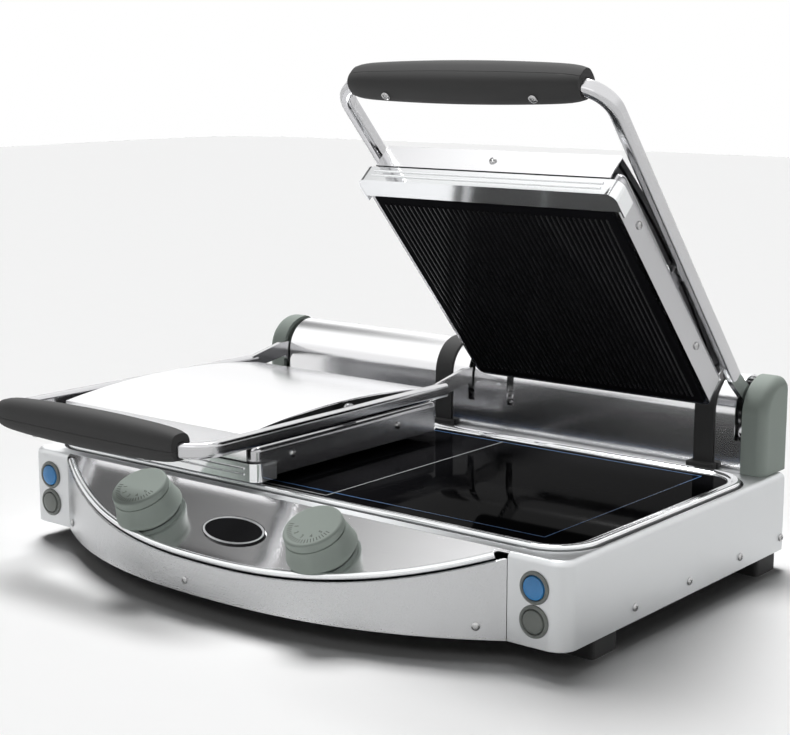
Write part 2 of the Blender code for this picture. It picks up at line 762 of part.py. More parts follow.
def add_end_cap(side):
    """A rounded plastic cap that closes one end of the hinge housing."""
    sign = SIDES[side]
    name = side + "_end_cap"
    outline = housing_outline(CAP_PROUD, DECK_Z + GAP)
    cap = side_mesh(name, [outline], CAP_INNER, CAP_INNER + CAP_WIDTH)
    outer = CAP_INNER + CAP_WIDTH - GAP
    floor = DECK_Z + 2 * GAP
    cap = bevelled(
        cap, CAP_ROUNDING, 4, lambda e: all(v.co.x > outer for v in e.verts) and any(v.co.z > floor for v in e.verts)
    )
    pocket = side_mesh(
        "pocket", [housing_outline(-CAP_WALL, DECK_Z + CAP_WALL)], CAP_INNER - SHEET, CAP_INNER + CAP_WIDTH / 2
    )
    if sign < 0:
        for mesh in (cap, pocket):
            mesh.transform(Matrix.Diagonal((-1.0, 1.0, 1.0, 1.0)))
            mesh.flip_normals()
    obj = link(cap, name, GREY_PLASTIC)
    cut(obj, pocket)
    smooth(obj)
    return obj


def add_cable_band(side):
    """A black plastic band that carries the lid's cable over the housing, with a flared foot."""
    bottom = DECK_Z + 2 * GAP
    outer = housing_outline(GAP + CABLE_BAND_THICKNESS, bottom)[:-5]
    inner = housing_outline(GAP, bottom)[:-5]
    width, depth, height = CABLE_FOOT
    x = lid_centre(side) + CABLE_BAND_OFFSET
    half = CABLE_BAND_WIDTH / 2
    name = side + "_cable_band"
    obj = link(side_mesh(name, [outer + inner[::-1]], x - half, x + half), name, BLACK_PLASTIC)
    face = HOUSING_FRONT - GAP - CABLE_BAND_THICKNESS / 2
    foot = rounded_rectangle(x - width / 2, x + width / 2, face - depth, face, depth / 3, GAP, 2)
    cut(obj, plan_mesh("foot", [foot], bottom - GAP / 2, bottom + height), "UNION")


def add_hinge_shaft(side):
    reach = LID_HALF + NECK_THICKNESS / 2 + SHAFT_OVERHANG
    x = lid_centre(side)
    rod = [(0.0, reach), (SHAFT_RADIUS, reach), (SHAFT_RADIUS, -reach), (0.0, -reach)]
    mesh = turned_mesh(side + "_hinge_shaft", rod, 20)
    turn = Matrix.Rotation(math.radians(90.0), 4, "Y")
    mesh.transform(Matrix.Translation((x, HINGE_Y, HINGE_Z)) @ turn)
    obj = link(mesh, side + "_hinge_shaft", SATIN)
    smooth(obj)
    return obj


def add_hinge_frame():
    """A strip on the deck with four upright plates that carry the two shafts."""
    thickness, depth, above = SUPPORT_SIZE
    half = depth / 2
    reach = LID_SPACING / 2 + SUPPORT_OFFSET + thickness
    bottom = DECK_Z + GAP
    low = (-reach, HINGE_Y - half, bottom)
    strip = box_mesh("hinge_frame", low, (reach, HINGE_Y + half, bottom + SUPPORT_STRIP))
    obj = link(strip, "hinge_frame", SATIN)
    inset = GAP
    for side in SIDES:
        for offset in (-SUPPORT_OFFSET, SUPPORT_OFFSET):
            x = lid_centre(side) + offset
            top = HINGE_Z + above - half
            outline = [(HINGE_Y - half + inset, bottom + inset), (HINGE_Y + half - inset, bottom + inset)]
            outline += corner_arc(HINGE_Y, top, half - inset, 0, 180, 8)
            hole = circle(HINGE_Y, HINGE_Z, SHAFT_RADIUS + RUN, 20)
            cut(obj, side_mesh("plate", [outline, hole], x - thickness / 2, x + thickness / 2), "UNION")


def add_spring(side):
    """The torsion spring that balances one lid."""
    per_turn = 8
    start = lid_centre(side) + SPRING_OFFSET - SPRING_LENGTH / 2
    points = []
    for i in range(SPRING_TURNS * per_turn + 1):
        angle = 2 * math.pi * i / per_turn
        x = start + SPRING_LENGTH * i / (SPRING_TURNS * per_turn)
        points.append((x, HINGE_Y + SPRING_COIL * math.cos(angle), HINGE_Z + SPRING_COIL * math.sin(angle)))
    name = side + "_balance_spring"
    return link(tube_mesh(name, points, SPRING_WIRE, 1), name, DARK_STEEL)


def screw_head(direction, place):
    """A domed screw head that stands on a surface at place and faces along direction."""
    r, h = SCREW_HEAD_RADIUS, SCREW_HEAD_HEIGHT
    mesh = turned_mesh("screw", [(0.0, h), (r * 0.6, h * 0.85), (r, h * 0.25), (r, GAP), (0.0, GAP)], 12)
    turn = Vector((0.0, 0.0, 1.0)).rotation_difference(Vector(direction)).to_matrix().to_4x4()
    mesh.transform(Matrix.Translation(place) @ turn)
    return mesh


def add_band_screw(side):
    """The screw that holds one side of the front band."""
    x = SIDES[side] * BAND_SCREW_X
    px, py = bow(x)
    qx, qy = bow(x, -1.0)
    head = screw_head((qx - px, qy - py, 0.0), (px, py, CASE_BOTTOM + BAND_SCREW_RISE))
    smooth(link(head, side + "_band_screw", POLISHED))


def gland_place():
    return HALF_WIDTH - GLAND_FROM_SIDE, CASE_BOTTOM + GLAND_RISE


def add_cable_gland():
    """The mains cable's outlet in the rear wall."""
    inner, outer, flange, reach = GLAND_BORE, GLAND_BORE + 0.004, GLAND_BORE + 0.0075, 0.010
    profile = [(inner, reach), (outer, reach), (outer, GAP + 0.003), (flange, GAP + 0.003), (flange, GAP)]
    profile += [(inner, GAP), (inner, reach)]
    mesh = turned_mesh("cable_gland", profile, 20)
    x, z = gland_place()
    mesh.transform(Matrix.Translation((x, CASING_DEPTH, z)) @ Matrix.Rotation(math.radians(-90.0), 4, "X"))
    return link(mesh, "cable_gland", BLACK_PLASTIC)


def arm_side(reach):
    """Half the arm's width at a reach forward of the hinge: it narrows towards the back."""
    share = (reach - ARM_TUBE_REAR_REACH) / (HANDLE_REACH - ARM_BEND - ARM_TUBE_REAR_REACH)
    return LID_HALF + ARM_SIDE_REAR + share * (ARM_SIDE_FRONT - ARM_SIDE_REAR)


def arm_path():
    """Half of the handle tube's centre line, from the rear end to the middle of the bar."""
    corner = HANDLE_REACH - ARM_BEND
    side = arm_side(corner)
    points = [(arm_side(ARM_TUBE_REAR_REACH), -ARM_TUBE_REAR_REACH)]
    points += [(x, y) for x, y in corner_arc(side - ARM_BEND, -corner, ARM_BEND, 0, -90, 7)]
    return points


def oval_tube(name, clearance):
    """The bent handle tube, taller than it is wide, grown by clearance."""
    half = arm_path()
    points = [(x, y, 0.0) for x, y in half] + [(-x, y, 0.0) for x, y in half[::-1]]
    mesh = tube_mesh(name, points, ARM_HALF_WIDTH + clearance, 3)
    mesh.transform(Matrix.Diagonal((1.0, 1.0, (ARM_HALF_HEIGHT + clearance) / (ARM_HALF_WIDTH + clearance), 1.0)))
    return moved(mesh, (0.0, 0.0, ARM_ABOVE_HINGE))


def neck_outline():
    """Side view of a flat neck: from the tube's end up into the housing and round the shaft."""
    low = ARM_ABOVE_HINGE - ARM_HALF_HEIGHT + GAP
    high = ARM_ABOVE_HINGE + ARM_HALF_HEIGHT - GAP
    front = -ARM_TUBE_REAR_REACH - NECK_INTO_TUBE
    shoulder = -HINGE_BEHIND_FRONT - HUB_RADIUS / 2
    outline = [(front, high), (front, low), (shoulder, low + NECK_RISE - SHEET)]
    outline += corner_arc(0.0, 0.0, HUB_RADIUS, 175, 405, 12)
    outline += [(shoulder + 0.006, high + NECK_RISE), (shoulder - 0.008, high + NECK_RISE)]
    return outline


def add_arm_frame(name):
    """The handle tube with a flat neck welded into each end and a hub on the shaft."""
    obj = link(oval_tube(name, 0.0), name, POLISHED)
    hole = circle(0.0, 0.0, SHAFT_RADIUS + RUN, 20)
    half = NECK_THICKNESS / 2
    for x in (-NECK_X, NECK_X):
        cut(obj, side_mesh("neck", [neck_outline(), hole], x - half, x + half), "UNION")
    smooth(obj)
    return obj


def grip_solid(name):
    """A bulged bar of rounded section, widest in the middle, round the handle's front bar."""
    bm = bmesh.new()
    rings, around = 13, 16
    loops = []
    for i in range(rings):
        t = -1.0 + 2.0 * i / (rings - 1)
        swell = 1.0 - t * t
        end = 1.0 - 0.16 * abs(t) ** 16
        high = (GRIP_END_HALF_HEIGHT + (GRIP_HALF_HEIGHT - GRIP_END_HALF_HEIGHT) * swell) * end
        deep = GRIP_HALF_DEPTH * (0.86 + 0.14 * swell) * end
        loop = []
        for k in range(around):
            a = 2 * math.pi * k / around
            c, s = math.cos(a), math.sin(a)
            y = math.copysign(abs(c) ** 0.75, c) * deep
            z = math.copysign(abs(s) ** 0.75, s) * high
            loop.append(bm.verts.new((t * GRIP_LENGTH / 2, y, z)))
        loops.append(loop)
    for first, second in zip(loops, loops[1:]):
        for k in range(around):
            after = (k + 1) % around
            bm.faces.new((first[k], first[after], second[after], second[k]))
    bm.faces.new(loops[0])
    bm.faces.new(loops[-1][::-1])
    return mesh_of(bm, name)


def add_grip_half(name, sign):
    """One half shell of the grip, split at the tube's middle, with a channel for the tube."""
    shift = (0.0, -HANDLE_REACH, ARM_ABOVE_HINGE + GRIP_RISE)
    obj = link(moved(grip_solid(name), shift), name, BLACK_PLASTIC)
    cut(obj, oval_tube("channel", GAP))
    far = GRIP_LENGTH
    edge = ARM_ABOVE_HINGE + sign * GAP / 2
    near_z, far_z = sorted((edge, edge - sign * far / 2))
    cut(obj, box_mesh("half", (-far, -HANDLE_REACH - far / 2, near_z), (far, -HANDLE_REACH + far / 2, far_z)))
    smooth(obj)
    return obj


def stud_x():
    return arm_side(PIVOT_REACH) - ARM_HALF_WIDTH - GAP


def add_pivot_stud(name, sign):
    """A stud on the arm's inner side that carries the lid, with its nut."""
    ear_inner = stud_x() - 3 * GAP - EAR_THICKNESS - 2 * GAP
    nut = ear_inner - 0.004
    profile = [
        (0.0, stud_x()),
        (STUD_RADIUS, stud_x()),
        (STUD_RADIUS, ear_inner),
        (STUD_NUT_RADIUS, ear_inner),
        (STUD_NUT_RADIUS, nut),
        (0.0, nut),
    ]
    mesh = turned_mesh(name, profile, 12)
    mesh.transform(Matrix.Rotation(math.radians(sign * 90.0), 4, "Y"))
    return link(moved(mesh, (0.0, -PIVOT_REACH, ARM_ABOVE_HINGE)), name, POLISHED)


def add_arm(side):
    """The moving arm of one lid, all of its parts on the hinge axis."""
    axis = bpy.data.objects.new(side + "_arm_hinge", None)
    PARTS.objects.link(axis)
    axis.location = (lid_centre(side), HINGE_Y, HINGE_Z)
    axis.rotation_euler = (-REST_OPENING[side], 0.0, 0.0)
    pieces = [
        add_arm_frame(side + "_arm_frame"),
        add_grip_half(side + "_grip_top", 1.0),
        add_grip_half(side + "_grip_bottom", -1.0),
        add_pivot_stud(side + "_lid_left_stud", -1.0),
        add_pivot_stud(side + "_lid_right_stud", 1.0),
    ]
    hold(pieces, axis, (0.0, 0.0, 0.0))
    return axis


def hold(pieces, axis, offset):
    """Parent pieces, and the cutters that shape them, to an axis."""
    for piece in pieces:
        helpers = [modifier.object for modifier in piece.modifiers if modifier.type == "BOOLEAN"]
        for obj in [piece] + helpers:
            obj.parent = axis
            obj.location = offset


def lid_outline(inset, corner_steps=4):
    radius = max(LID_CORNER - inset, GAP)
    return rounded_rectangle(
        -LID_HALF + inset, LID_HALF - inset, LID_FRONT + inset, LID_REAR - inset, radius, steps=corner_steps
    )


def add_lid_frame(name):
    """The lid's side walls, with an ear on each side for the pivot studs."""
    ring = plan_mesh(name, [lid_outline(0.0), lid_outline(SHEET)], LID_BOTTOM, LID_TOP)
    obj = link(ring, name, SATIN)
    outer = stud_x() - 3 * GAP
    inner = outer - EAR_THICKNESS
    top = ARM_ABOVE_HINGE
    for sign in (-1.0, 1.0):
        half = EAR_HALF_WIDTH
        foot = LID_TOP - LID_WALL_HEIGHT / 3
        outline = [(-PIVOT_REACH - half, foot), (-PIVOT_REACH + half, foot)]
        outline += corner_arc(-PIVOT_REACH, top, half * 0.8, 0, 180, 8)
        hole = circle(-PIVOT_REACH, top, STUD_RADIUS + RUN, 16)
        left, right = sorted((sign * inner, sign * outer))
        cut(obj, side_mesh("ear", [outline, hole], left, right), "UNION")
        bridge_left, bridge_right = sorted((sign * (inner + SHEET / 2), sign * (LID_HALF - SHEET / 2)))
        low = (bridge_left, -PIVOT_REACH - half, foot)
        high = (bridge_right, -PIVOT_REACH + half, foot + 2 * SHEET)
        cut(obj, box_mesh("bridge", low, high), "UNION")
    return obj


def add_lid_plate(name):
    """The ribbed glass-ceramic plate under the lid; its ribs run front to back."""
    border = SHEET + PLATE_BORDER
    half = LID_HALF - border
    bottom = LID_BOTTOM - PLATE_PROUD
    top = bottom + PLATE_THICKNESS
    flat = 2 * PLATE_BORDER
    pitch = 2 * (half - flat) / RIB_COUNT
    outline = [(half, bottom), (half, top), (-half, top), (-half, bottom), (-half + flat, bottom)]
    for i in range(RIB_COUNT):
        left = -half + flat + i * pitch
        outline += [(left + pitch * 0.3, bottom + RIB_DEPTH), (left + pitch * 0.6, bottom + RIB_DEPTH)]
        outline += [(left + pitch * 0.9, bottom)]
    front = LID_FRONT + SHEET + PLATE_FRONT_BORDER
    rear = LID_REAR - border
    mesh = flat_mesh(name, [outline], rear - front)
    turn = Matrix(((1.0, 0.0, 0.0, 0.0), (0.0, 0.0, -1.0, 0.0), (0.0, 1.0, 0.0, 0.0), (0.0, 0.0, 0.0, 1.0)))
    mesh.transform(Matrix.Translation((0.0, (front + rear) / 2, 0.0)) @ turn)
    return link(mesh, name, BLACK_GLASS)


def arch_height(y, drop):
    """Height of the cover's arch at y, lowered by drop: an arc over the lid's whole length."""
    front = LID_FRONT - COVER_FRONT_PROUD
    half = (LID_REAR - front) / 2
    radius = (half**2 + COVER_CROWN**2) / (2 * COVER_CROWN)
    from_middle = y - (front + LID_REAR) / 2
    return LID_TOP + COVER_EDGE_RISE - drop + math.sqrt(radius**2 - from_middle**2) - (radius - COVER_CROWN)


def cover_arch(inset, front, rear):
    """The arch's points from front to rear, moved inwards by inset."""
    steps = [front + inset + (rear - front - 2 * inset) * i / 12 for i in range(13)]
    return [(y, arch_height(y, inset)) for y in steps]


def add_lid_cover(name):
    """The polished sheet over the lid: arched front to back, with a skirt down the front."""
    front, rear = LID_FRONT - COVER_FRONT_PROUD, LID_REAR
    outer = cover_arch(0.0, front, rear)
    inner = cover_arch(COVER_SHEET, front, rear)
    front_foot = outer[0][1] - COVER_SKIRT
    rear_foot = outer[-1][1] - COVER_EDGE_RISE * 0.7
    outline = [(outer[0][0], front_foot)] + outer + [(outer[-1][0], rear_foot)]
    outline += [(inner[-1][0], rear_foot)] + inner[::-1] + [(inner[0][0], front_foot)]
    half = LID_HALF - COVER_INSET
    obj = link(side_mesh(name, [outline], -half, half), name, POLISHED)
    smooth(obj)
    return obj


def add_lid_heater(name):
    """The heating element's tray and insulation, which fill the lid under its cover."""
    drop = COVER_SHEET + SHEET
    half = LID_HALF - CORE_INSET
    bottom = LID_BOTTOM - PLATE_PROUD + PLATE_THICKNESS + GAP
    front, rear = LID_FRONT + SHEET, LID_REAR - SHEET
    top = cover_arch(drop, front, rear)
    outline = [(top[0][0], bottom)] + top + [(top[-1][0], bottom)]
    return link(side_mesh(name, [outline], -half, half), name, DARK_STEEL)


def add_gutter(name):
    """The grease guard: a strip across the lid's front that turns back round both corners, on a flange."""
    half = LID_HALF + GUTTER_SIDE
    front = LID_FRONT - GUTTER_PROUD
    back = front + GUTTER_RETURN
    near = GUTTER_CORNER
    outer = [(-half, back)] + corner_arc(-half + near, front + near, near, 180, 270, 5)
    outer += corner_arc(half - near, front + near, near, 270, 360, 5) + [(half, back)]
    thin = near - SHEET
    inner = [(-half + SHEET, back)] + corner_arc(-half + near, front + near, thin, 180, 270, 5)
    inner += corner_arc(half - near, front + near, thin, 270, 360, 5) + [(half - SHEET, back)]
    bottom = LID_BOTTOM - GAP - SHEET
    strip = plan_mesh(name, [outer + inner[::-1]], bottom, LID_BOTTOM + GUTTER_HEIGHT)
    obj = link(strip, name, POLISHED)
    edge = LID_FRONT + SHEET + PLATE_FRONT_BORDER - 2 * GAP
    flange_front = max(front + SHEET / 2, edge - GUTTER_FLANGE)
    side = half - SHEET / 2
    flange = rounded_rectangle(-side, side, flange_front, edge, near - SHEET / 2, RUN, 6)
    cut(obj, plan_mesh("flange", [flange], bottom + RUN / 2, bottom + SHEET), "UNION")
    smooth(obj)
    return obj


def add_lid(side, arm):
    """The self-levelling lid, which turns on the arm's studs."""
    axis = bpy.data.objects.new(side + "_lid_pivot", None)
    PARTS.objects.link(axis)
    axis.parent = arm
    axis.location = (0.0, -PIVOT_REACH, ARM_ABOVE_HINGE)
    pieces = [
        add_lid_frame(side + "_lid_frame"),
        add_lid_plate(side + "_lid_plate"),
        add_lid_cover(side + "_lid_cover"),
        add_lid_heater(side + "_lid_heater"),
        add_gutter(side + "_lid_gutter"),
    ]
    hold(pieces, axis, (0.0, PIVOT_REACH, -ARM_ABOVE_HINGE))
    return axis


def centre_on_footprint():
    """Move the appliance so that the middle of its outer box, at worktop level, is the origin."""
    bpy.context.view_layer.update()
    graph = bpy.context.evaluated_depsgraph_get()
    low, high = [math.inf] * 2, [-math.inf] * 2
    for obj in PARTS.objects:
        if obj.type != "MESH":
            continue
        evaluated = obj.evaluated_get(graph)
        for vertex in evaluated.data.vertices:
            place = evaluated.matrix_world @ vertex.co
            for axis in (0, 1):
                low[axis] = min(low[axis], place[axis])
                high[axis] = max(high[axis], place[axis])
    frame = bpy.data.objects.new("appliance_frame", None)
    PARTS.objects.link(frame)
    for obj in list(PARTS.objects) + list(CUTTERS.objects):
        if obj.parent is None and obj is not frame:
            obj.parent = frame
    frame.location = (-(low[0] + high[0]) / 2, -(low[1] + high[1]) / 2, 0.0)
    bpy.context.view_layer.update()


def build():
    add_casing()
    add_front_band()
    add_band_trim()
    add_control_panel()
    add_badge()
    add_base_plate()
    add_feet()
    add_deck_rim()
    add_cooktop_glass()
    add_cooktop_tray()
    add_hinge_cover()
    add_hinge_frame()
    add_cable_gland()
    for side in SIDES:
        add_lower_heater(side)
        add_thermostat(side)
        add_knob(side)
        add_switch(side)
        for level in BUTTON_HEIGHTS:
            add_button(side, level)
        add_band_screw(side)
        add_end_cap(side)
        add_cable_band(side)
        add_hinge_shaft(side)
        add_spring(side)
        add_lid(side, add_arm(side))
    centre_on_footprint()


clear_scene()
PARTS = collection("contact_grill")
CUTTERS = collection("contact_grill_cutters", hidden=True)
build()
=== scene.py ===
"""Looks for the double glass-ceramic contact grill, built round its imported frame.

The row frame is X to the right, Y to the back and Z up, in metres. Each lid and its arm are drawn
shut, in a frame whose origin is the hinge axis, and are then turned to their rest angle.
"""

import json
import logging
import math
from dataclasses import dataclass, field
from enum import Enum
from typing import Callable, Iterable, Sequence

import bmesh
import bpy
from mathutils import Matrix, Vector


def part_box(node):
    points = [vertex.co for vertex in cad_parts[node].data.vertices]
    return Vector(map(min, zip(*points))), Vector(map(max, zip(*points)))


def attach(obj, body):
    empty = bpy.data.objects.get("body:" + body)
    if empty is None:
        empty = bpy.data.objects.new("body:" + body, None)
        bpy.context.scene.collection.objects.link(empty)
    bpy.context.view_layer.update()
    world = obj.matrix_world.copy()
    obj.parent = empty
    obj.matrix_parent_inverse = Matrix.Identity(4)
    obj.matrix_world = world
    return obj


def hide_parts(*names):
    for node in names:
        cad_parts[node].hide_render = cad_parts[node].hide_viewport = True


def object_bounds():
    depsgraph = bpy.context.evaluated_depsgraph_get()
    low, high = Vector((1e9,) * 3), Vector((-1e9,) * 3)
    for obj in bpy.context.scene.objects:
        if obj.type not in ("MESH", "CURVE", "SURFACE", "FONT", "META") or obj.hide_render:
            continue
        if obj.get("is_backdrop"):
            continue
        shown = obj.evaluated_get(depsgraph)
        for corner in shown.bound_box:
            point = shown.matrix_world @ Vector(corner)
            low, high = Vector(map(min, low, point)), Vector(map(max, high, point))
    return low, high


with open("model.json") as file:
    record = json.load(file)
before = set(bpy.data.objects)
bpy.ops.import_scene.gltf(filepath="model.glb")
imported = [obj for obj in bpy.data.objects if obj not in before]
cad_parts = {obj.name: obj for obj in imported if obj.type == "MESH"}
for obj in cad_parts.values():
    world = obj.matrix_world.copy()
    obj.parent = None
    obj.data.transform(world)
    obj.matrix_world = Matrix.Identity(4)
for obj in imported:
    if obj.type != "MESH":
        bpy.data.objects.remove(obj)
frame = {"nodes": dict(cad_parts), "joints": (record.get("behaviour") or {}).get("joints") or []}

LOG = logging.getLogger("contact_grill")
Point2 = tuple[float, float]
Outline = list[Point2]

GAP = 0.0003  # between neighbouring pieces
MERGE = 0.000005  # points nearer than this are one point
FLAT_ANGLE = 0.0005  # faces that meet at less than this, in radians, are one face
ARM_OFFSET = 0.150  # from the middle of the appliance to the middle of each arm
NECK_OFFSET = 0.126  # from the middle of an arm to each of its necks


class Side(Enum):
    """The two halves of the appliance; the value is the sign of X."""

    LEFT = -1
    RIGHT = 1

    @property
    def word(self) -> str:
        """The side's name as the frame's nodes and bodies use it."""
        return self.name.lower()


# ---------------------------------------------------------------------------------------------
# Shader groups and finishes
# ---------------------------------------------------------------------------------------------


class Effect:
    """A shader node group that several finishes share."""

    def __init__(self, name: str, inputs: dict[str, float], outputs: Sequence[str]) -> None:
        """Make the group's sockets.

        Args:
            name: The group's name.
            inputs: Each float input with its default.
            outputs: The names of the float outputs.
        """
        self.tree = bpy.data.node_groups.new(name, "ShaderNodeTree")
        for word, value in inputs.items():
            made = self.tree.interface.new_socket(word, in_out="INPUT", socket_type="NodeSocketFloat")
            made.default_value = value
        for word in outputs:
            self.tree.interface.new_socket(word, in_out="OUTPUT", socket_type="NodeSocketFloat")
        self.source = self.add("NodeGroupInput")
        self.sink = self.add("NodeGroupOutput")

    def add(self, kind: str, **values: object) -> bpy.types.Node:
        """Add a node and set its properties."""
        node = self.tree.nodes.new(kind)
        for word, value in values.items():
            setattr(node, word, value)
        return node

    def wire(self, out: bpy.types.NodeSocket, into: bpy.types.NodeSocket) -> None:
        """Link two sockets."""
        self.tree.links.new(out, into)

    def maths(self, operation: str, first: object, second: object) -> bpy.types.NodeSocket:
        """Add a Math node.

        Args:
            operation: The Math node's operation.
            first: A socket or a number.
            second: A socket or a number.

        Returns:
            The node's output.
        """
        node = self.add("ShaderNodeMath", operation=operation)
        for socket, value in zip(node.inputs, (first, second)):
            if isinstance(value, bpy.types.NodeSocket):
                self.wire(value, socket)
            else:
                socket.default_value = value
        return node.outputs[0]

    def noise(self, scale: object, stretch: tuple[float, float, float], detail: float) -> bpy.types.NodeSocket:
        """Add a noise in object space, stretched along the axes.

        Args:
            scale: A socket or a number.
            stretch: The pattern's scale along X, Y and Z.
            detail: The noise's detail.

        Returns:
            The noise's value.
        """
        place = self.add("ShaderNodeTexCoord")
        mapping = self.add("ShaderNodeMapping")
        mapping.inputs["Scale"].default_value = stretch
        noise = self.add("ShaderNodeTexNoise")
        noise.inputs["Detail"].default_value = detail
        self.wire(place.outputs["Object"], mapping.inputs["Vector"])
        self.wire(mapping.outputs["Vector"], noise.inputs["Vector"])
        if isinstance(scale, bpy.types.NodeSocket):
            self.wire(scale, noise.inputs["Scale"])
        else:
            noise.inputs["Scale"].default_value = scale
        return noise.outputs[0]


class Grain(Enum):
    """The direction in which a sheet's brushing runs."""

    ALONG_X = (1.0, 60.0, 60.0)
    ALONG_Y = (60.0, 1.0, 60.0)
    ALONG_Z = (60.0, 60.0, 1.0)
    NONE = (12.0, 12.0, 12.0)


def brushed_effect(grain: Grain) -> bpy.types.NodeTree:
    """Fine parallel scratches with a slow change of gloss across the sheet.

    Args:
        grain: The direction of the brushing.

    Returns:
        A group with the outputs Tone, Gloss and Height.
    """
    name = "brushed_" + grain.name.lower()
    if name in bpy.data.node_groups:
        return bpy.data.node_groups[name]
    made = Effect(name, {"Fineness": 40.0, "Unevenness": 0.25}, ("Tone", "Gloss", "Height"))
    lines = made.noise(made.source.outputs["Fineness"], grain.value, 3.0)
    clouds = made.noise(7.0, (1.0, 1.0, 1.0), 3.0)
    rough = made.maths("MULTIPLY", clouds, made.source.outputs["Unevenness"])
    fine = made.maths("MULTIPLY", lines, 0.75)
    made.wire(made.maths("ADD", fine, rough), made.sink.inputs["Gloss"])
    made.wire(made.maths("ADD", made.maths("MULTIPLY", lines, 0.5), made.maths("MULTIPLY", clouds, 0.5)),
              made.sink.inputs["Tone"])
    made.wire(lines, made.sink.inputs["Height"])
    return made.tree


def moulded_effect() -> bpy.types.NodeTree:
    """The fine spark-eroded texture of a moulding, with faint handling marks.

    Returns:
        A group with the outputs Tone, Gloss and Height.
    """
    name = "moulded_texture"
    if name in bpy.data.node_groups:
        return bpy.data.node_groups[name]
    made = Effect(name, {"Fineness": 900.0, "Handling": 0.4}, ("Tone", "Gloss", "Height"))
    fine = made.noise(made.source.outputs["Fineness"], (1.0, 1.0, 1.0), 2.0)
    marks = made.noise(22.0, (1.0, 1.0, 1.0), 4.0)
    made.wire(made.maths("MULTIPLY", marks, made.source.outputs["Handling"]), made.sink.inputs["Gloss"])
    made.wire(marks, made.sink.inputs["Tone"])
    made.wire(fine, made.sink.inputs["Height"])
    return made.tree


@dataclass(frozen=True)
class Finish:
    """One surface finish: two colours and two roughnesses that its effect mixes."""

    name: str
    light: tuple[float, float, float]
    dark: tuple[float, float, float]
    rough: tuple[float, float]
    metallic: float = 0.0
    grain: Grain | None = None
    fineness: float = 40.0
    bump: float = 0.00002
    coat: float = 0.0
    specular: float = 0.5
    emission: float = 0.0
    coat_rough: float = 0.04

    def material(self) -> bpy.types.Material:
        """The finish's material, made once.

        Returns:
            The material of this name where there is one already, the frame's own included, and else a
            new one whose Principled shader reads the finish's effect.
        """
        if self.name in bpy.data.materials:
            return bpy.data.materials[self.name]
        made = bpy.data.materials.new(self.name)
        made.use_nodes = True
        made.diffuse_color = (*self.light, 1.0)
        tree = made.node_tree
        shader = tree.nodes["Principled BSDF"]
        shader.inputs["Metallic"].default_value = self.metallic
        shader.inputs["Coat Weight"].default_value = self.coat
        shader.inputs["Coat Roughness"].default_value = self.coat_rough
        shader.inputs["Specular IOR Level"].default_value = self.specular
        if self.emission:
            shader.inputs["Emission Color"].default_value = (*self.light, 1.0)
            shader.inputs["Emission Strength"].default_value = self.emission
        effect = tree.nodes.new("ShaderNodeGroup")
        effect.node_tree = brushed_effect(self.grain) if self.grain else moulded_effect()
        effect.inputs["Fineness"].default_value = self.fineness
        mix = tree.nodes.new("ShaderNodeMix")
        mix.data_type = "RGBA"
        mix.inputs[6].default_value = (*self.dark, 1.0)
        mix.inputs[7].default_value = (*self.light, 1.0)
        tree.links.new(effect.outputs["Tone"], mix.inputs["Factor"])
        tree.links.new(mix.outputs[2], shader.inputs["Base Color"])
        span = tree.nodes.new("ShaderNodeMapRange")
        span.inputs["To Min"].default_value = self.rough[0]
        span.inputs["To Max"].default_value = self.rough[1]
        tree.links.new(effect.outputs["Gloss"], span.inputs["Value"])
        tree.links.new(span.outputs["Result"], shader.inputs["Roughness"])
        bump = tree.nodes.new("ShaderNodeBump")
        bump.inputs["Strength"].default_value = 1.0
        bump.inputs["Distance"].default_value = self.bump
        tree.links.new(effect.outputs["Height"], bump.inputs["Height"])
        tree.links.new(bump.outputs["Normal"], shader.inputs["Normal"])
        return made


# A finish that has the name of one of the frame's slots takes the frame's own plain material, so the
# values written for it here aren't used: satin_steel, polished_steel, black_plastic, grey_plastic,
# blue_lens and foot_rubber.
SATIN = Finish(
    "satin_steel", light=(0.56, 0.565, 0.57), dark=(0.49, 0.495, 0.505), rough=(0.24, 0.36),
    metallic=1.0, grain=Grain.ALONG_Z,
)
SATIN_X = Finish(
    "satin_steel_across", light=(0.56, 0.565, 0.57), dark=(0.49, 0.495, 0.505), rough=(0.22, 0.34),
    metallic=1.0, grain=Grain.ALONG_X,
)
PANEL = Finish(
    "panel_steel", light=(0.80, 0.80, 0.805), dark=(0.74, 0.74, 0.75), rough=(0.10, 0.17),
    metallic=1.0, grain=Grain.ALONG_X, fineness=30.0, bump=0.00001,
)
POLISHED = Finish(
    "polished_steel", light=(0.80, 0.80, 0.81), dark=(0.72, 0.72, 0.73), rough=(0.06, 0.15),
    metallic=1.0, grain=Grain.NONE, fineness=8.0, bump=0.0,
)
COVER = Finish(
    "cover_steel", light=(0.90, 0.90, 0.91), dark=(0.85, 0.85, 0.86), rough=(0.15, 0.24),
    metallic=1.0, grain=Grain.ALONG_Y, fineness=30.0, bump=0.00001,
)
WALL = Finish(
    "lid_wall_steel", light=(0.52, 0.52, 0.53), dark=(0.44, 0.44, 0.45), rough=(0.16, 0.26),
    metallic=1.0, grain=Grain.ALONG_Y, fineness=30.0, bump=0.00001,
)
ARM_STEEL = Finish(
    "arm_steel", light=(0.60, 0.60, 0.61), dark=(0.50, 0.50, 0.51), rough=(0.12, 0.22),
    metallic=1.0, grain=Grain.ALONG_Y, fineness=30.0, bump=0.00001,
)
HOUSING = Finish(
    "housing_steel", light=(0.86, 0.86, 0.87), dark=(0.79, 0.79, 0.80), rough=(0.14, 0.22),
    metallic=1.0, grain=Grain.ALONG_X, fineness=30.0, bump=0.00001,
)
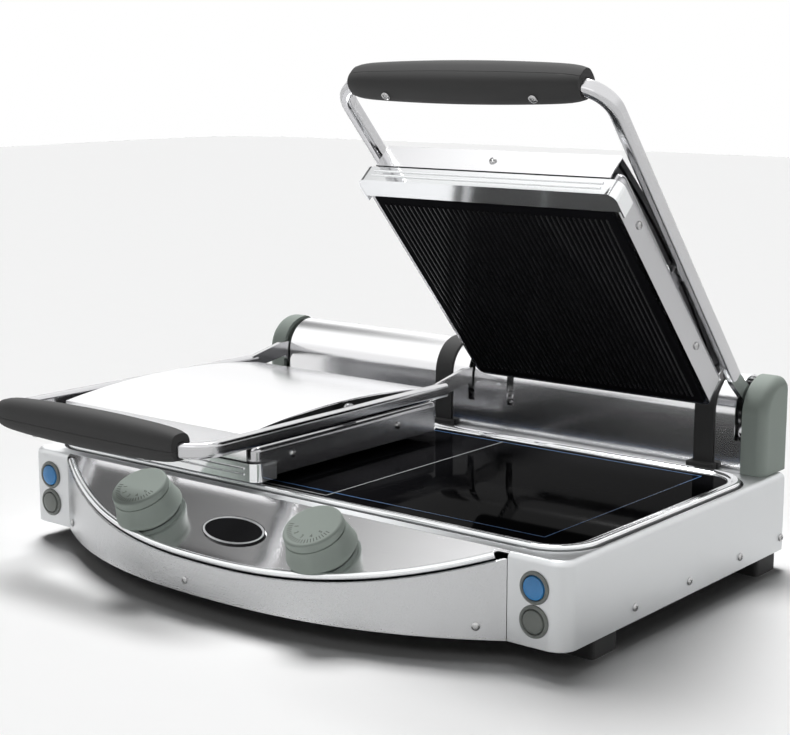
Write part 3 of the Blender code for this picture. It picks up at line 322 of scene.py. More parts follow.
SCREW = Finish(
    "screw_steel", light=(0.50, 0.50, 0.50), dark=(0.38, 0.38, 0.38), rough=(0.18, 0.32),
    metallic=1.0, grain=Grain.NONE, fineness=20.0, bump=0.0,
)
DARK_METAL = Finish(
    "dark_metal", light=(0.055, 0.055, 0.057), dark=(0.035, 0.035, 0.037), rough=(0.35, 0.55),
    metallic=0.6, grain=Grain.NONE, fineness=12.0, bump=0.0,
)
GLASS = Finish(
    "hob_glass", light=(0.008, 0.008, 0.009), dark=(0.005, 0.005, 0.006), rough=(0.03, 0.08),
    fineness=60.0, bump=0.0, specular=0.0015,
)
RIBBED_GLASS = Finish(
    "ribbed_glass", light=(0.014, 0.014, 0.015), dark=(0.009, 0.009, 0.010), rough=(0.12, 0.22),
    fineness=60.0, bump=0.0, specular=0.35,
)
BLACK = Finish(
    "black_plastic", light=(0.013, 0.013, 0.014), dark=(0.009, 0.009, 0.010), rough=(0.42, 0.58),
    fineness=1100.0, bump=0.00004, specular=0.35,
)
GREY = Finish(
    "grey_plastic", light=(0.31, 0.33, 0.31), dark=(0.28, 0.30, 0.28), rough=(0.38, 0.52),
    fineness=1100.0, bump=0.00003,
)
BEZEL = Finish(
    "bezel_plastic", light=(0.22, 0.235, 0.22), dark=(0.19, 0.205, 0.19), rough=(0.40, 0.55),
    fineness=1100.0, bump=0.00003,
)
BLUE = Finish(
    "blue_lens", light=(0.03, 0.22, 0.60), dark=(0.02, 0.18, 0.50), rough=(0.12, 0.22),
    fineness=400.0, coat=0.4, emission=0.2,
)
INK = Finish(
    "dark_marking", light=(0.07, 0.08, 0.07), dark=(0.05, 0.06, 0.05), rough=(0.5, 0.6),
    fineness=400.0, bump=0.0,
)
WHITE_INK = Finish(
    "white_marking", light=(0.55, 0.56, 0.57), dark=(0.46, 0.47, 0.48), rough=(0.4, 0.5),
    fineness=400.0, bump=0.0,
)
BLUE_INK = Finish(
    "blue_marking", light=(0.03, 0.16, 0.42), dark=(0.03, 0.14, 0.37), rough=(0.4, 0.5),
    fineness=400.0, bump=0.0,
)
ENAMEL = Finish(
    "badge_enamel", light=(0.006, 0.006, 0.007), dark=(0.004, 0.004, 0.005), rough=(0.10, 0.18),
    fineness=300.0, bump=0.0, specular=0.15,
)
FOOT = Finish(
    "foot_rubber", light=(0.014, 0.014, 0.015), dark=(0.009, 0.009, 0.010), rough=(0.65, 0.85),
    fineness=700.0, bump=0.00006,
)
FLOOR = Finish(
    "pale_floor", light=(0.93, 0.93, 0.93), dark=(0.92, 0.92, 0.92), rough=(0.95, 1.0),
    fineness=30.0, bump=0.0, specular=0.0,
)


# ---------------------------------------------------------------------------------------------
# Mesh making
# ---------------------------------------------------------------------------------------------


def add_object(data: bpy.types.ID, name: str) -> bpy.types.Object:
    """Link a new object to the scene."""
    made = bpy.data.objects.new(name, data)
    bpy.context.scene.collection.objects.link(made)
    return made


def baked(obj: bpy.types.Object, name: str) -> bpy.types.Mesh:
    """Turn an object into a mesh in the row frame and remove the object.

    Args:
        obj: An object with its modifiers.
        name: The mesh's name.

    Returns:
        The evaluated mesh with the object's place applied.
    """
    bpy.context.view_layer.update()
    graph = bpy.context.evaluated_depsgraph_get()
    mesh = bpy.data.meshes.new_from_object(obj.evaluated_get(graph))
    mesh.transform(obj.matrix_world)
    mesh.name = name
    bpy.data.objects.remove(obj, do_unlink=True)
    return mesh


def tidied(mesh: bpy.types.Mesh, flat: bool = False) -> bpy.types.Mesh:
    """Merge doubled points and face all faces outwards."""
    bm = bmesh.new()
    bm.from_mesh(mesh)
    bmesh.ops.remove_doubles(bm, verts=bm.verts, dist=MERGE)
    if flat:
        bmesh.ops.dissolve_limit(bm, angle_limit=FLAT_ANGLE, verts=bm.verts, edges=bm.edges)
    bmesh.ops.recalc_face_normals(bm, faces=bm.faces)
    bm.to_mesh(mesh)
    bm.free()
    return mesh


def sheet(outlines: Sequence[Outline], low: float, high: float) -> bpy.types.Mesh:
    """A flat sheet from closed outlines, lying in the plan from one level to another.

    Args:
        outlines: Points in X and Y; outlines inside another are holes.
        low: The level of the underside.
        high: The level of the upper side.

    Returns:
        A closed mesh.
    """
    curve = bpy.data.curves.new("sheet", "CURVE")
    curve.dimensions = "2D"
    curve.fill_mode = "BOTH"
    curve.extrude = (high - low) / 2
    for outline in outlines:
        spline = curve.splines.new("POLY")
        spline.points.add(len(outline) - 1)
        for point, (x, y) in zip(spline.points, outline):
            point.co = (x, y, 0.0, 1.0)
        spline.use_cyclic_u = True
    mesh = tidied(baked(add_object(curve, "sheet"), "sheet"))
    mesh.transform(Matrix.Translation((0.0, 0.0, (low + high) / 2)))
    return mesh


SIDE_VIEW = Matrix(((0, 0, 1, 0), (1, 0, 0, 0), (0, 1, 0, 0), (0, 0, 0, 1)))
FRONT_VIEW = Matrix(((1, 0, 0, 0), (0, 0, -1, 0), (0, 1, 0, 0), (0, 0, 0, 1)))


def side_sheet(outlines: Sequence[Outline], left: float, right: float) -> bpy.types.Mesh:
    """A sheet drawn in the side view, as points in Y and Z, from one X to another."""
    mesh = sheet(outlines, left, right)
    mesh.transform(SIDE_VIEW)
    return mesh


def front_sheet(outlines: Sequence[Outline], front: float, rear: float) -> bpy.types.Mesh:
    """A sheet drawn in the front view, as points in X and Z, from one Y to another."""
    mesh = sheet(outlines, -rear, -front)
    mesh.transform(FRONT_VIEW)
    return mesh


def block(low: Sequence[float], high: Sequence[float]) -> bpy.types.Mesh:
    """A box between two corners."""
    bm = bmesh.new()
    middle = [(a + b) / 2 for a, b in zip(low, high)]
    size = [b - a for a, b in zip(low, high)]
    bmesh.ops.create_cube(bm, size=1.0, matrix=Matrix.Translation(middle) @ Matrix.Diagonal((*size, 1.0)))
    mesh = bpy.data.meshes.new("block")
    bm.to_mesh(mesh)
    bm.free()
    return mesh


def lofted(rings: Sequence[Sequence[Sequence[float]]], name: str, looped: bool = False) -> bpy.types.Mesh:
    """A skin over rings that have the same number of points.

    Args:
        rings: The points of each ring, in order along the skin.
        name: The mesh's name.
        looped: Whether the last ring joins the first; otherwise both ends are closed with a face.

    Returns:
        A closed mesh.
    """
    bm = bmesh.new()
    loops = [[bm.verts.new(place) for place in ring] for ring in rings]
    count = len(loops[0])
    for first, second in zip(loops, loops[1:] + loops[:looped]):
        for k in range(count):
            after = (k + 1) % count
            bm.faces.new((first[k], first[after], second[after], second[k]))
    if not looped:
        bm.faces.new(loops[0])
        bm.faces.new(loops[-1][::-1])
    bmesh.ops.recalc_face_normals(bm, faces=bm.faces)
    mesh = bpy.data.meshes.new(name)
    bm.to_mesh(mesh)
    bm.free()
    return mesh


def bent(mesh: bpy.types.Mesh, radius: float, segments: int, chosen: Callable[[Vector], bool],
         wanted: Callable[[Vector], bool] = lambda place: True) -> bpy.types.Mesh:
    """Round the sharp edges of a block that a test picks.

    Args:
        mesh: The block.
        radius: The bend's outer radius.
        segments: The number of faces round the bend.
        chosen: The test that both ends of an edge pass.
        wanted: The test that at least one end passes.

    Returns:
        The same mesh, changed.
    """
    bm = bmesh.new()
    bm.from_mesh(mesh)
    bmesh.ops.dissolve_limit(bm, angle_limit=FLAT_ANGLE, verts=bm.verts, edges=bm.edges)
    edges = [edge for edge in bm.edges if edge.calc_face_angle(0.0) > 0.5
             and all(chosen(vert.co) for vert in edge.verts) and any(wanted(vert.co) for vert in edge.verts)]
    bmesh.ops.bevel(bm, geom=edges, offset=radius, segments=segments, profile=0.5, affect="EDGES")
    bmesh.ops.recalc_face_normals(bm, faces=bm.faces)
    bm.to_mesh(mesh)
    bm.free()
    return mesh


def top_bent(mesh: bpy.types.Mesh, radius: float, level: float) -> bpy.types.Mesh:
    """Round the upper edge of an upright block whose upper face is at a level."""
    return bent(mesh, radius, 6, lambda place: place.z > level - 1e-4)


def tube(points: Sequence[Sequence[float]], radius: float, around: int) -> bpy.types.Mesh:
    """A round rod through points, with closed ends.

    Args:
        points: The centre line.
        radius: The rod's radius.
        around: The curve's bevel resolution.

    Returns:
        A closed mesh.
    """
    curve = bpy.data.curves.new("tube", "CURVE")
    curve.dimensions = "3D"
    curve.bevel_depth = radius
    curve.bevel_resolution = around
    curve.use_fill_caps = True
    spline = curve.splines.new("POLY")
    spline.points.add(len(points) - 1)
    for point, place in zip(spline.points, points):
        point.co = (*place, 1.0)
    return tidied(baked(add_object(curve, "tube"), "tube"))


def bar(points: Sequence[Sequence[float]], half_width: float, half_height: float,
        corner: float) -> bpy.types.Mesh:
    """A flat-sided bar through points that lie in one level, with closed ends.

    Args:
        points: The centre line.
        half_width: Half the bar's width across the line, in the plan.
        half_height: Half the bar's height.
        corner: The radius of the section's corners.

    Returns:
        A closed mesh.
    """
    section = rounded(-half_width, half_width, -half_height, half_height, corner, steps=7)
    rings = []
    for i, place in enumerate(points):
        before, after = Vector(points[max(i - 1, 0)]), Vector(points[min(i + 1, len(points) - 1)])
        along = (after - before).normalized()
        across = Vector((-along.y, along.x, 0.0))
        if 0 < i < len(points) - 1:
            first = (Vector(place) - before).normalized()
            across = across / max(first.dot(along), 0.5)
        rings.append([Vector(place) + across * u + Vector((0.0, 0.0, v)) for u, v in section])
    return lofted(rings, "bar")


def turned(profile: Sequence[Point2], steps: int = 64) -> bpy.types.Mesh:
    """A solid of revolution about Z.

    Args:
        profile: Points as radius and height, from the top to the bottom of the outer side.
        steps: The number of steps round the axis.

    Returns:
        A closed mesh.
    """
    mesh = bpy.data.meshes.new("profile")
    points = [(radius, 0.0, height) for radius, height in profile]
    mesh.from_pydata(points, [(i, i + 1) for i in range(len(points) - 1)], [])
    obj = add_object(mesh, "profile")
    screw = obj.modifiers.new("turn", "SCREW")
    screw.steps = steps
    screw.render_steps = steps
    screw.use_merge_vertices = True
    screw.merge_threshold = MERGE
    return tidied(baked(obj, "turned"))


def placed(mesh: bpy.types.Mesh, matrix: Matrix) -> bpy.types.Mesh:
    """Move a mesh's points by a matrix."""
    mesh.transform(matrix)
    return mesh


def joined(meshes: Iterable[bpy.types.Mesh]) -> bpy.types.Mesh:
    """Several meshes as one; they are used up."""
    bm = bmesh.new()
    for mesh in meshes:
        bm.from_mesh(mesh)
    made = bpy.data.meshes.new("joined")
    bm.to_mesh(made)
    bm.free()
    return made


def carved(mesh: bpy.types.Mesh, tool: bpy.types.Mesh, operation: str = "DIFFERENCE") -> bpy.types.Mesh:
    """Cut one mesh with another, or join them.

    Args:
        mesh: The mesh that is changed.
        tool: The mesh that cuts or is joined.
        operation: DIFFERENCE, UNION or INTERSECT.

    Returns:
        The result as a new mesh.
    """
    body = add_object(mesh, "carved")
    knife = add_object(tool, "knife")
    boolean = body.modifiers.new("carve", "BOOLEAN")
    boolean.operation = operation
    boolean.solver = "EXACT"
    boolean.object = knife
    made = baked(body, "carved")
    bpy.data.objects.remove(knife, do_unlink=True)
    return tidied(made, flat=True)


@dataclass
class Piece:
    """A finished mesh that rides on one body of the frame."""

    name: str
    mesh: bpy.types.Mesh
    body: str
    finish: Finish
    replaces: tuple[str, ...] = ()
    slot: str = ""
    bevel: float = 0.0003
    segments: int = 2
    smooth: float = 32.0
    pose: Matrix | None = None

    def build(self) -> bpy.types.Object:
        """Round the piece's edges, give it its finish and hang it on its body.

        Returns:
            The finished object, at the origin with its place in its mesh.
        """
        obj = add_object(self.mesh, self.name)
        if self.bevel > 0.0:
            edge = obj.modifiers.new("edge", "BEVEL")
            edge.width = self.bevel
            edge.segments = self.segments
            edge.limit_method = "ANGLE"
            edge.angle_limit = math.radians(38.0)
            edge.use_clamp_overlap = True
        mesh = baked(obj, self.name)
        mesh.materials.clear()
        mesh.materials.append(self.finish.material())
        mesh.shade_smooth()
        mesh.set_sharp_from_angle(angle=math.radians(self.smooth))
        obj = add_object(mesh, self.name)
        weigh = obj.modifiers.new("weigh", "WEIGHTED_NORMAL")
        weigh.keep_sharp = True
        mesh = baked(obj, self.name)
        if self.pose is not None:
            mesh.transform(self.pose)
        obj = add_object(mesh, self.name)
        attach(obj, self.body)
        if self.replaces:
            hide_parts(*self.replaces)
        LOG.info("%s: %d faces on %s", self.name, len(mesh.polygons), self.body)
        return obj


# ---------------------------------------------------------------------------------------------
# Geometry node trees for what repeats
# ---------------------------------------------------------------------------------------------


class Repeater:
    """A geometry node tree under construction."""

    def __init__(self, name: str) -> None:
        """Start an empty tree with a geometry input and output."""
        self.tree = bpy.data.node_groups.new(name, "GeometryNodeTree")
        self.tree.interface.new_socket("Geometry", in_out="INPUT", socket_type="NodeSocketGeometry")
        self.tree.interface.new_socket("Geometry", in_out="OUTPUT", socket_type="NodeSocketGeometry")
        self.source = self.node("NodeGroupInput")
        self.sink = self.node("NodeGroupOutput")

    def entry(self, name: str, kind: str) -> None:
        """Add a named input."""
        self.tree.interface.new_socket(name, in_out="INPUT", socket_type=kind)

    def node(self, kind: str, **values: object) -> bpy.types.Node:
        """Add a node and set its properties."""
        made = self.tree.nodes.new(kind)
        for word, value in values.items():
            setattr(made, word, value)
        return made

    def wire(self, out: bpy.types.NodeSocket, into: bpy.types.NodeSocket) -> None:
        """Link two sockets."""
        self.tree.links.new(out, into)

    def close(self, geometry: bpy.types.NodeSocket) -> None:
        """End the tree: realise the instances and set the material."""
        real = self.node("GeometryNodeRealizeInstances")
        paint = self.node("GeometryNodeSetMaterial")
        self.wire(geometry, real.inputs["Geometry"])
        self.wire(real.outputs["Geometry"], paint.inputs["Geometry"])
        self.wire(self.source.outputs["Material"], paint.inputs["Material"])
        self.wire(paint.outputs["Geometry"], self.sink.inputs["Geometry"])

    def run(self, mesh: bpy.types.Mesh, values: dict[str, object]) -> bpy.types.Mesh:
        """Apply the tree to a mesh.

        Args:
            mesh: The mesh that the tree starts from.
            values: The inputs by name.

        Returns:
            The result as a plain mesh.
        """
        obj = add_object(mesh, self.tree.name)
        modifier = obj.modifiers.new("repeat", "NODES")
        modifier.node_group = self.tree
        for item in self.tree.interface.items_tree:
            if item.in_out == "INPUT" and item.name in values:
                modifier[item.identifier] = values[item.name]
        return baked(obj, self.tree.name)


def rib_tree() -> Repeater:
    """Half-round ribs in a row along X, each running along Y.

    Returns:
        A tree with the inputs Count, First, Pitch, Front, Rear, Radius and Material.
    """
    made = Repeater("ribs")
    made.entry("Count", "NodeSocketInt")
    for name in ("First", "Pitch", "Front", "Rear"):
        made.entry(name, "NodeSocketVector")
    made.entry("Radius", "NodeSocketFloat")
    made.entry("Material", "NodeSocketMaterial")
    put = made.source.outputs
    row = made.node("GeometryNodeMeshLine", mode="OFFSET")
    line = made.node("GeometryNodeCurvePrimitiveLine")
    ring = made.node("GeometryNodeCurvePrimitiveCircle")
    ring.inputs["Resolution"].default_value = 10
    sweep = made.node("GeometryNodeCurveToMesh")
    sweep.inputs["Fill Caps"].default_value = True
    copies = made.node("GeometryNodeInstanceOnPoints")
    made.wire(put["Count"], row.inputs["Count"])
    made.wire(put["First"], row.inputs["Start Location"])
    made.wire(put["Pitch"], row.inputs["Offset"])
    made.wire(put["Front"], line.inputs["Start"])
    made.wire(put["Rear"], line.inputs["End"])
    made.wire(put["Radius"], ring.inputs["Radius"])
    made.wire(line.outputs["Curve"], sweep.inputs["Curve"])
    made.wire(ring.outputs["Curve"], sweep.inputs["Profile Curve"])
    made.wire(row.outputs["Mesh"], copies.inputs["Points"])
    made.wire(sweep.outputs["Mesh"], copies.inputs["Instance"])
    made.close(copies.outputs["Instances"])
    return made


def tick_tree() -> Repeater:
    """Printed strokes on an arc about Z, each pointing at the middle.

    Returns:
        A tree with the inputs Count, Radius, Start, Sweep, Size and Material.
    """
    made = Repeater("ticks")
    made.entry("Count", "NodeSocketInt")
    for name in ("Radius", "Start", "Sweep"):
        made.entry(name, "NodeSocketFloat")
    made.entry("Size", "NodeSocketVector")
    made.entry("Material", "NodeSocketMaterial")
    put = made.source.outputs
    arc = made.node("GeometryNodeCurveArc", mode="RADIUS")
    made.wire(put["Count"], arc.inputs["Resolution"])
    made.wire(put["Radius"], arc.inputs["Radius"])
    made.wire(put["Start"], arc.inputs["Start Angle"])
    made.wire(put["Sweep"], arc.inputs["Sweep Angle"])
    points = made.node("GeometryNodeCurveToPoints", mode="EVALUATED")
    stroke = made.node("GeometryNodeMeshCube")
    made.wire(put["Size"], stroke.inputs["Size"])
    where = made.node("GeometryNodeInputPosition")
    turn = made.node("FunctionNodeAlignRotationToVector", axis="X")
    made.wire(where.outputs["Position"], turn.inputs["Vector"])
    copies = made.node("GeometryNodeInstanceOnPoints")
    made.wire(arc.outputs["Curve"], points.inputs["Curve"])
    made.wire(points.outputs["Points"], copies.inputs["Points"])
    made.wire(stroke.outputs["Mesh"], copies.inputs["Instance"])
    made.wire(turn.outputs["Rotation"], copies.inputs["Rotation"])
    made.close(copies.outputs["Instances"])
    return made


def screw_tree() -> Repeater:
    """A screw head on each point, facing along the point's facing attribute.

    Returns:
        A tree with the inputs Head and Material.
    """
    made = Repeater("screws")
    made.entry("Head", "NodeSocketObject")
    made.entry("Material", "NodeSocketMaterial")
    put = made.source.outputs
    head = made.node("GeometryNodeObjectInfo")
    made.wire(put["Head"], head.inputs["Object"])
    facing = made.node("GeometryNodeInputNamedAttribute", data_type="FLOAT_VECTOR")
    facing.inputs["Name"].default_value = "facing"
    turn = made.node("FunctionNodeAlignRotationToVector", axis="Z")
    made.wire(facing.outputs["Attribute"], turn.inputs["Vector"])
    copies = made.node("GeometryNodeInstanceOnPoints")
    made.wire(put["Geometry"], copies.inputs["Points"])
    made.wire(head.outputs["Geometry"], copies.inputs["Instance"])
    made.wire(turn.outputs["Rotation"], copies.inputs["Rotation"])
    made.close(copies.outputs["Instances"])
    return made


@dataclass
class ScrewSet:
    """Cross-recessed pan-head screws at stated places."""

    radius: float = 0.0036
    height: float = 0.0021
    recess: float = 0.0009

    def head(self) -> bpy.types.Object:
        """One screw head about Z, with its cross recess."""
        r, h = self.radius, self.height
        dome = turned([(0.0, h), (r * 0.45, h * 0.97), (r * 0.75, h * 0.82), (r * 0.95, h * 0.5), (r, h * 0.15),
                       (r, 0.0), (0.0, 0.0)], 24)
        for turn in (0.0, math.pi / 2):
            bar = block((-r * 0.6, -r * 0.11, h - self.recess), (r * 0.6, r * 0.11, h * 2))
            dome = carved(dome, placed(bar, Matrix.Rotation(turn + 0.6, 4, "Z")))
        return add_object(dome, "screw_head")

    def mesh(self, places: Sequence[tuple[Sequence[float], Sequence[float]]]) -> bpy.types.Mesh:
        """Screw heads at places.

        Args:
            places: Each screw's seat and the way it faces.

        Returns:
            One mesh of all the heads.
        """
        points = bpy.data.meshes.new("seats")
        points.from_pydata([tuple(seat) for seat, _ in places], [], [])
        facing = points.attributes.new("facing", "FLOAT_VECTOR", "POINT")
        facing.data.foreach_set("vector", [value for _, way in places for value in way])
        head = self.head()
        made = screw_tree().run(points, {"Head": head, "Material": SCREW.material()})
        bpy.data.objects.remove(head, do_unlink=True)
        return made


# ---------------------------------------------------------------------------------------------
# Outlines
# ---------------------------------------------------------------------------------------------


def arc(cx: float, cy: float, radius: float, start: float, end: float, steps: int = 10) -> Outline:
    """Points of an arc between two angles in degrees, both ends included."""
    turns = [math.radians(start + (end - start) * i / steps) for i in range(steps + 1)]
    return [(cx + radius * math.cos(a), cy + radius * math.sin(a)) for a in turns]


def rounded(left: float, right: float, front: float, rear: float, near: float, far: float | None = None,
            steps: int = 12) -> Outline:
    """A rounded rectangle, anticlockwise from the front left."""
    back = near if far is None else far
    points = arc(left + near, front + near, near, 180, 270, steps)
    points += arc(right - near, front + near, near, 270, 360, steps)
    points += arc(right - back, rear - back, back, 0, 90, steps)
    return points + arc(left + back, rear - back, back, 90, 180, steps)


def round_hole(cx: float, cy: float, radius: float, steps: int = 48) -> Outline:
    """A closed circle."""
    return arc(cx, cy, radius, 0, 360 - 360 / steps, steps - 1)


@dataclass
class Casing:
    """The folded steel casing with its towers, base plate and feet."""

    sheet_metal: float = 0.0015
    tower_corner: float = 0.016
    rear_corner: float = 0.005
    top_bend: float = 0.0055
    recess_back: float = 0.0047
    deck_clearance: float = 0.0028
    deck_corner: float = 0.0428
    deck_cut: float = 0.02
    button_hole: float = 0.0119
    screw_rise: float = 0.012
    side_screws: tuple[float, ...] = (0.102, 0.190, 0.280, 0.358)

    def __post_init__(self) -> None:
        """Read the casing's box from the frame."""
        low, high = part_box("casing_shell")
        self.half = high.x
        self.front, self.rear = low.y, high.y
        self.bottom, self.deck = low.z, high.z
        self.bow_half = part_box("front_band")[1].x + GAP
        self.rim_low, self.rim_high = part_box("deck_rim")

    def shell(self) -> bpy.types.Mesh:
        """The casing as one folded sheet with its deck opening, front recess and button holes."""
        t = self.sheet_metal
        outer = rounded(-self.half, self.half, self.front, self.rear, self.tower_corner, self.rear_corner)
        shell = top_bent(sheet([outer], self.bottom, self.deck), self.top_bend, self.deck)
        inner = rounded(-self.half + t, self.half - t, self.front + t, self.rear - t, self.tower_corner - t,
                        self.rear_corner - t)
        hollow = top_bent(sheet([inner], self.bottom - t, self.deck - t), self.top_bend - t, self.deck - t)
        shell = carved(shell, hollow)
        low, high, clear = self.rim_low, self.rim_high, self.deck_clearance
        hole = rounded(low.x - clear, high.x + clear, low.y - clear, high.y + clear, self.deck_corner)
        shell = carved(shell, sheet([hole], self.deck - self.deck_cut, self.deck + t))
        reach, back = self.bow_half, self.front + self.recess_back
        shell = carved(shell, block((-reach, self.front - t, 0.0), (reach, back, self.deck + t)))
        for side in Side:
            for level in ("upper", "lower"):
                low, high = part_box(f"{side.word}_{level}_button")
                hole = round_hole((low.x + high.x) / 2, (low.z + high.z) / 2, self.button_hole)
                shell = carved(shell, front_sheet([hole], self.front - t, self.front + 3 * t))
        return shell

    def build(self) -> None:
        """Build and dress the casing, its screws, base plate and feet."""
        Piece("casing_shell_sheet", self.shell(), "base", SATIN, ("casing_shell",), "satin_steel", 0.0).build()
        rise = self.bottom + self.screw_rise
        seats = [((side.value * self.half, self.front + y, rise), (side.value, 0.0, 0.0))
                 for side in Side for y in self.side_screws]
        mesh = ScrewSet().mesh(seats)
        Piece("casing_side_screws", mesh, "base", SCREW, (), "polished_steel", 0.0).build()
        for node in ("base_plate", "cooktop_tray"):
            dress(node, DARK_METAL)
        for node in ("front_left_foot", "rear_left_foot", "front_right_foot", "rear_right_foot"):
            dress(node, FOOT)
        dress("cable_gland", BLACK)


def dress(node: str, finish: Finish) -> None:
    """Give a frame node a finish."""
    obj = frame["nodes"][node]
    obj.data.materials.clear()
    obj.data.materials.append(finish.material())
    LOG.info("%s dressed in %s", node, finish.name)


@dataclass
class FrontPanel:
    """The bowed band, its rolled bead, the sloping panel, the badge and the knobs."""

    depth: float = 0.072
    power: float = 2.4
    slope: float = math.radians(28.0)
    setback: float = 0.004
    bead: float = 0.003
    knob_down: float = 0.0465
    knob_offset: float = 0.101
    badge_half_height: float = 0.0165
    band_screw_x: float = -0.025
    band_screw_rise: float = 0.011
    steps: int = 96
    casing: Casing = field(default_factory=Casing)

    def __post_init__(self) -> None:
        """Take the panel's frame from the casing."""
        self.half = self.casing.bow_half
        origin = (0.0, self.casing.front + self.setback, self.casing.deck)
        self.plane = Matrix.Translation(origin) @ Matrix.Rotation(self.slope, 4, "X")

    def bow(self, x: float, inward: float = 0.0) -> Point2:
        """A plan point of the bowed front, moved inwards at right angles to the curve."""
        share = min(abs(x) / self.half, 1.0)
        y = -self.depth * (1.0 - share**self.power)
        slope = math.copysign(self.depth * self.power * share ** (self.power - 1.0) / self.half, x)
        length = math.hypot(1.0, slope)
        return x - inward * slope / length, self.casing.front + y + inward / length

    def bows(self, inward: float, gap: float) -> Outline:
        """The bow from left to right at an inward offset."""
        limit = self.half - gap
        return [self.bow(-limit + 2 * limit * i / self.steps, inward) for i in range(self.steps + 1)]

    def height(self, y: float) -> float:
        """The panel plane's height at a Y."""
        return self.casing.deck - math.tan(self.slope) * (self.casing.front + self.setback - y)

    def band(self) -> bpy.types.Mesh:
        """The bowed front sheet, cut off under the bead."""
        t = self.casing.sheet_metal
        outline = self.bows(0.0, GAP) + self.bows(t, GAP)[::-1]
        band = sheet([outline], self.casing.bottom, self.casing.deck)
        above = block((-1.0, -1.0, 0.0), (1.0, 1.0, 0.2))
        above = placed(above, self.plane @ Matrix.Translation((0.0, 0.0, -self.bead * 1.05)))
        band = carved(band, above)
        behind = block((-1.0, self.casing.front - GAP, 0.0), (1.0, self.casing.front + 0.1, 0.2))
        return carved(band, behind)

    def bead_line(self) -> list[tuple[float, float, float]]:
        """The centre line of the rolled bead along the band's upper edge."""
        line = []
        for x, y in self.bows(self.bead, self.bead + GAP):
            if y < self.casing.front - self.bead:
                line.append((x, y, self.height(y)))
        return line

    def panel(self) -> bpy.types.Mesh:
        """The sloping sheet between the deck and the bead."""
        reach = 2 * self.bead + 0.0002
        back = self.casing.front + self.setback
        edge = []
        for x, y in self.bows(reach, reach):
            if y < back - 2 * GAP and abs(x) < self.half - GAP:
                edge.append((x, (y - back) / math.cos(self.slope)))
        limit = self.half - GAP
        outline = [(-limit, -GAP), (-limit, edge[0][1])] + edge + [(limit, edge[-1][1]), (limit, -GAP)]
        return placed(sheet([outline], -self.casing.sheet_metal, 0.0), self.plane)

    def badge(self) -> None:
        """The oval badge: black enamel with a pale ring inside its edge, and no lettering."""
        low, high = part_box("badge")
        a, b = (high.x - low.x) / 2, self.badge_half_height
        place = self.plane @ Matrix.Translation((0.0, -self.knob_down, 0.0))

        def oval(grow: float) -> Outline:
            """The badge's outline, grown outwards."""
            return [(x * (a + grow), y * (b + grow)) for x, y in round_hole(0.0, 0.0, 1.0, 72)]

        enamel = sheet([oval(0.0)], 0.0003, 0.0015)
        ring = sheet([oval(-0.0007), oval(-0.0027)], 0.0013, 0.00165)
        Piece("badge_field", enamel, "base", ENAMEL, ("badge",), "black_enamel", 0.0003, pose=place).build()
        Piece("badge_ring", ring, "base", WHITE_INK, (), "polished_steel", 0.0, pose=place).build()

    def build(self) -> None:
        """Build the band, the bead, the panel, the badge, the middle band screw and the knobs."""
        Piece("front_band_sheet", self.band(), "base", SATIN_X, ("front_band",), "satin_steel", 0.0).build()
        bead = tube(self.bead_line(), self.bead, 5)
        Piece("front_bead", bead, "base", POLISHED, ("band_trim",), "polished_steel", 0.0).build()
        Piece("sloping_panel", self.panel(), "base", PANEL, ("control_panel",), "satin_steel", 0.0002).build()
        self.badge()
        near, out = Vector(self.bow(self.band_screw_x)), Vector(self.bow(self.band_screw_x, -1.0))
        seat = (near.x, near.y, self.casing.bottom + self.band_screw_rise)
        mesh = ScrewSet(0.0034, 0.0019).mesh([(seat, (*(out - near), 0.0))])
        Piece("band_screws", mesh, "base", SCREW, (), "polished_steel", 0.0).build()
        for side in Side:
            dress(f"{side.word}_band_screw", SCREW)
            stand = Matrix.Translation((side.value * self.knob_offset, -self.knob_down, 0.0))
            Knob(side, self.plane @ stand).build()


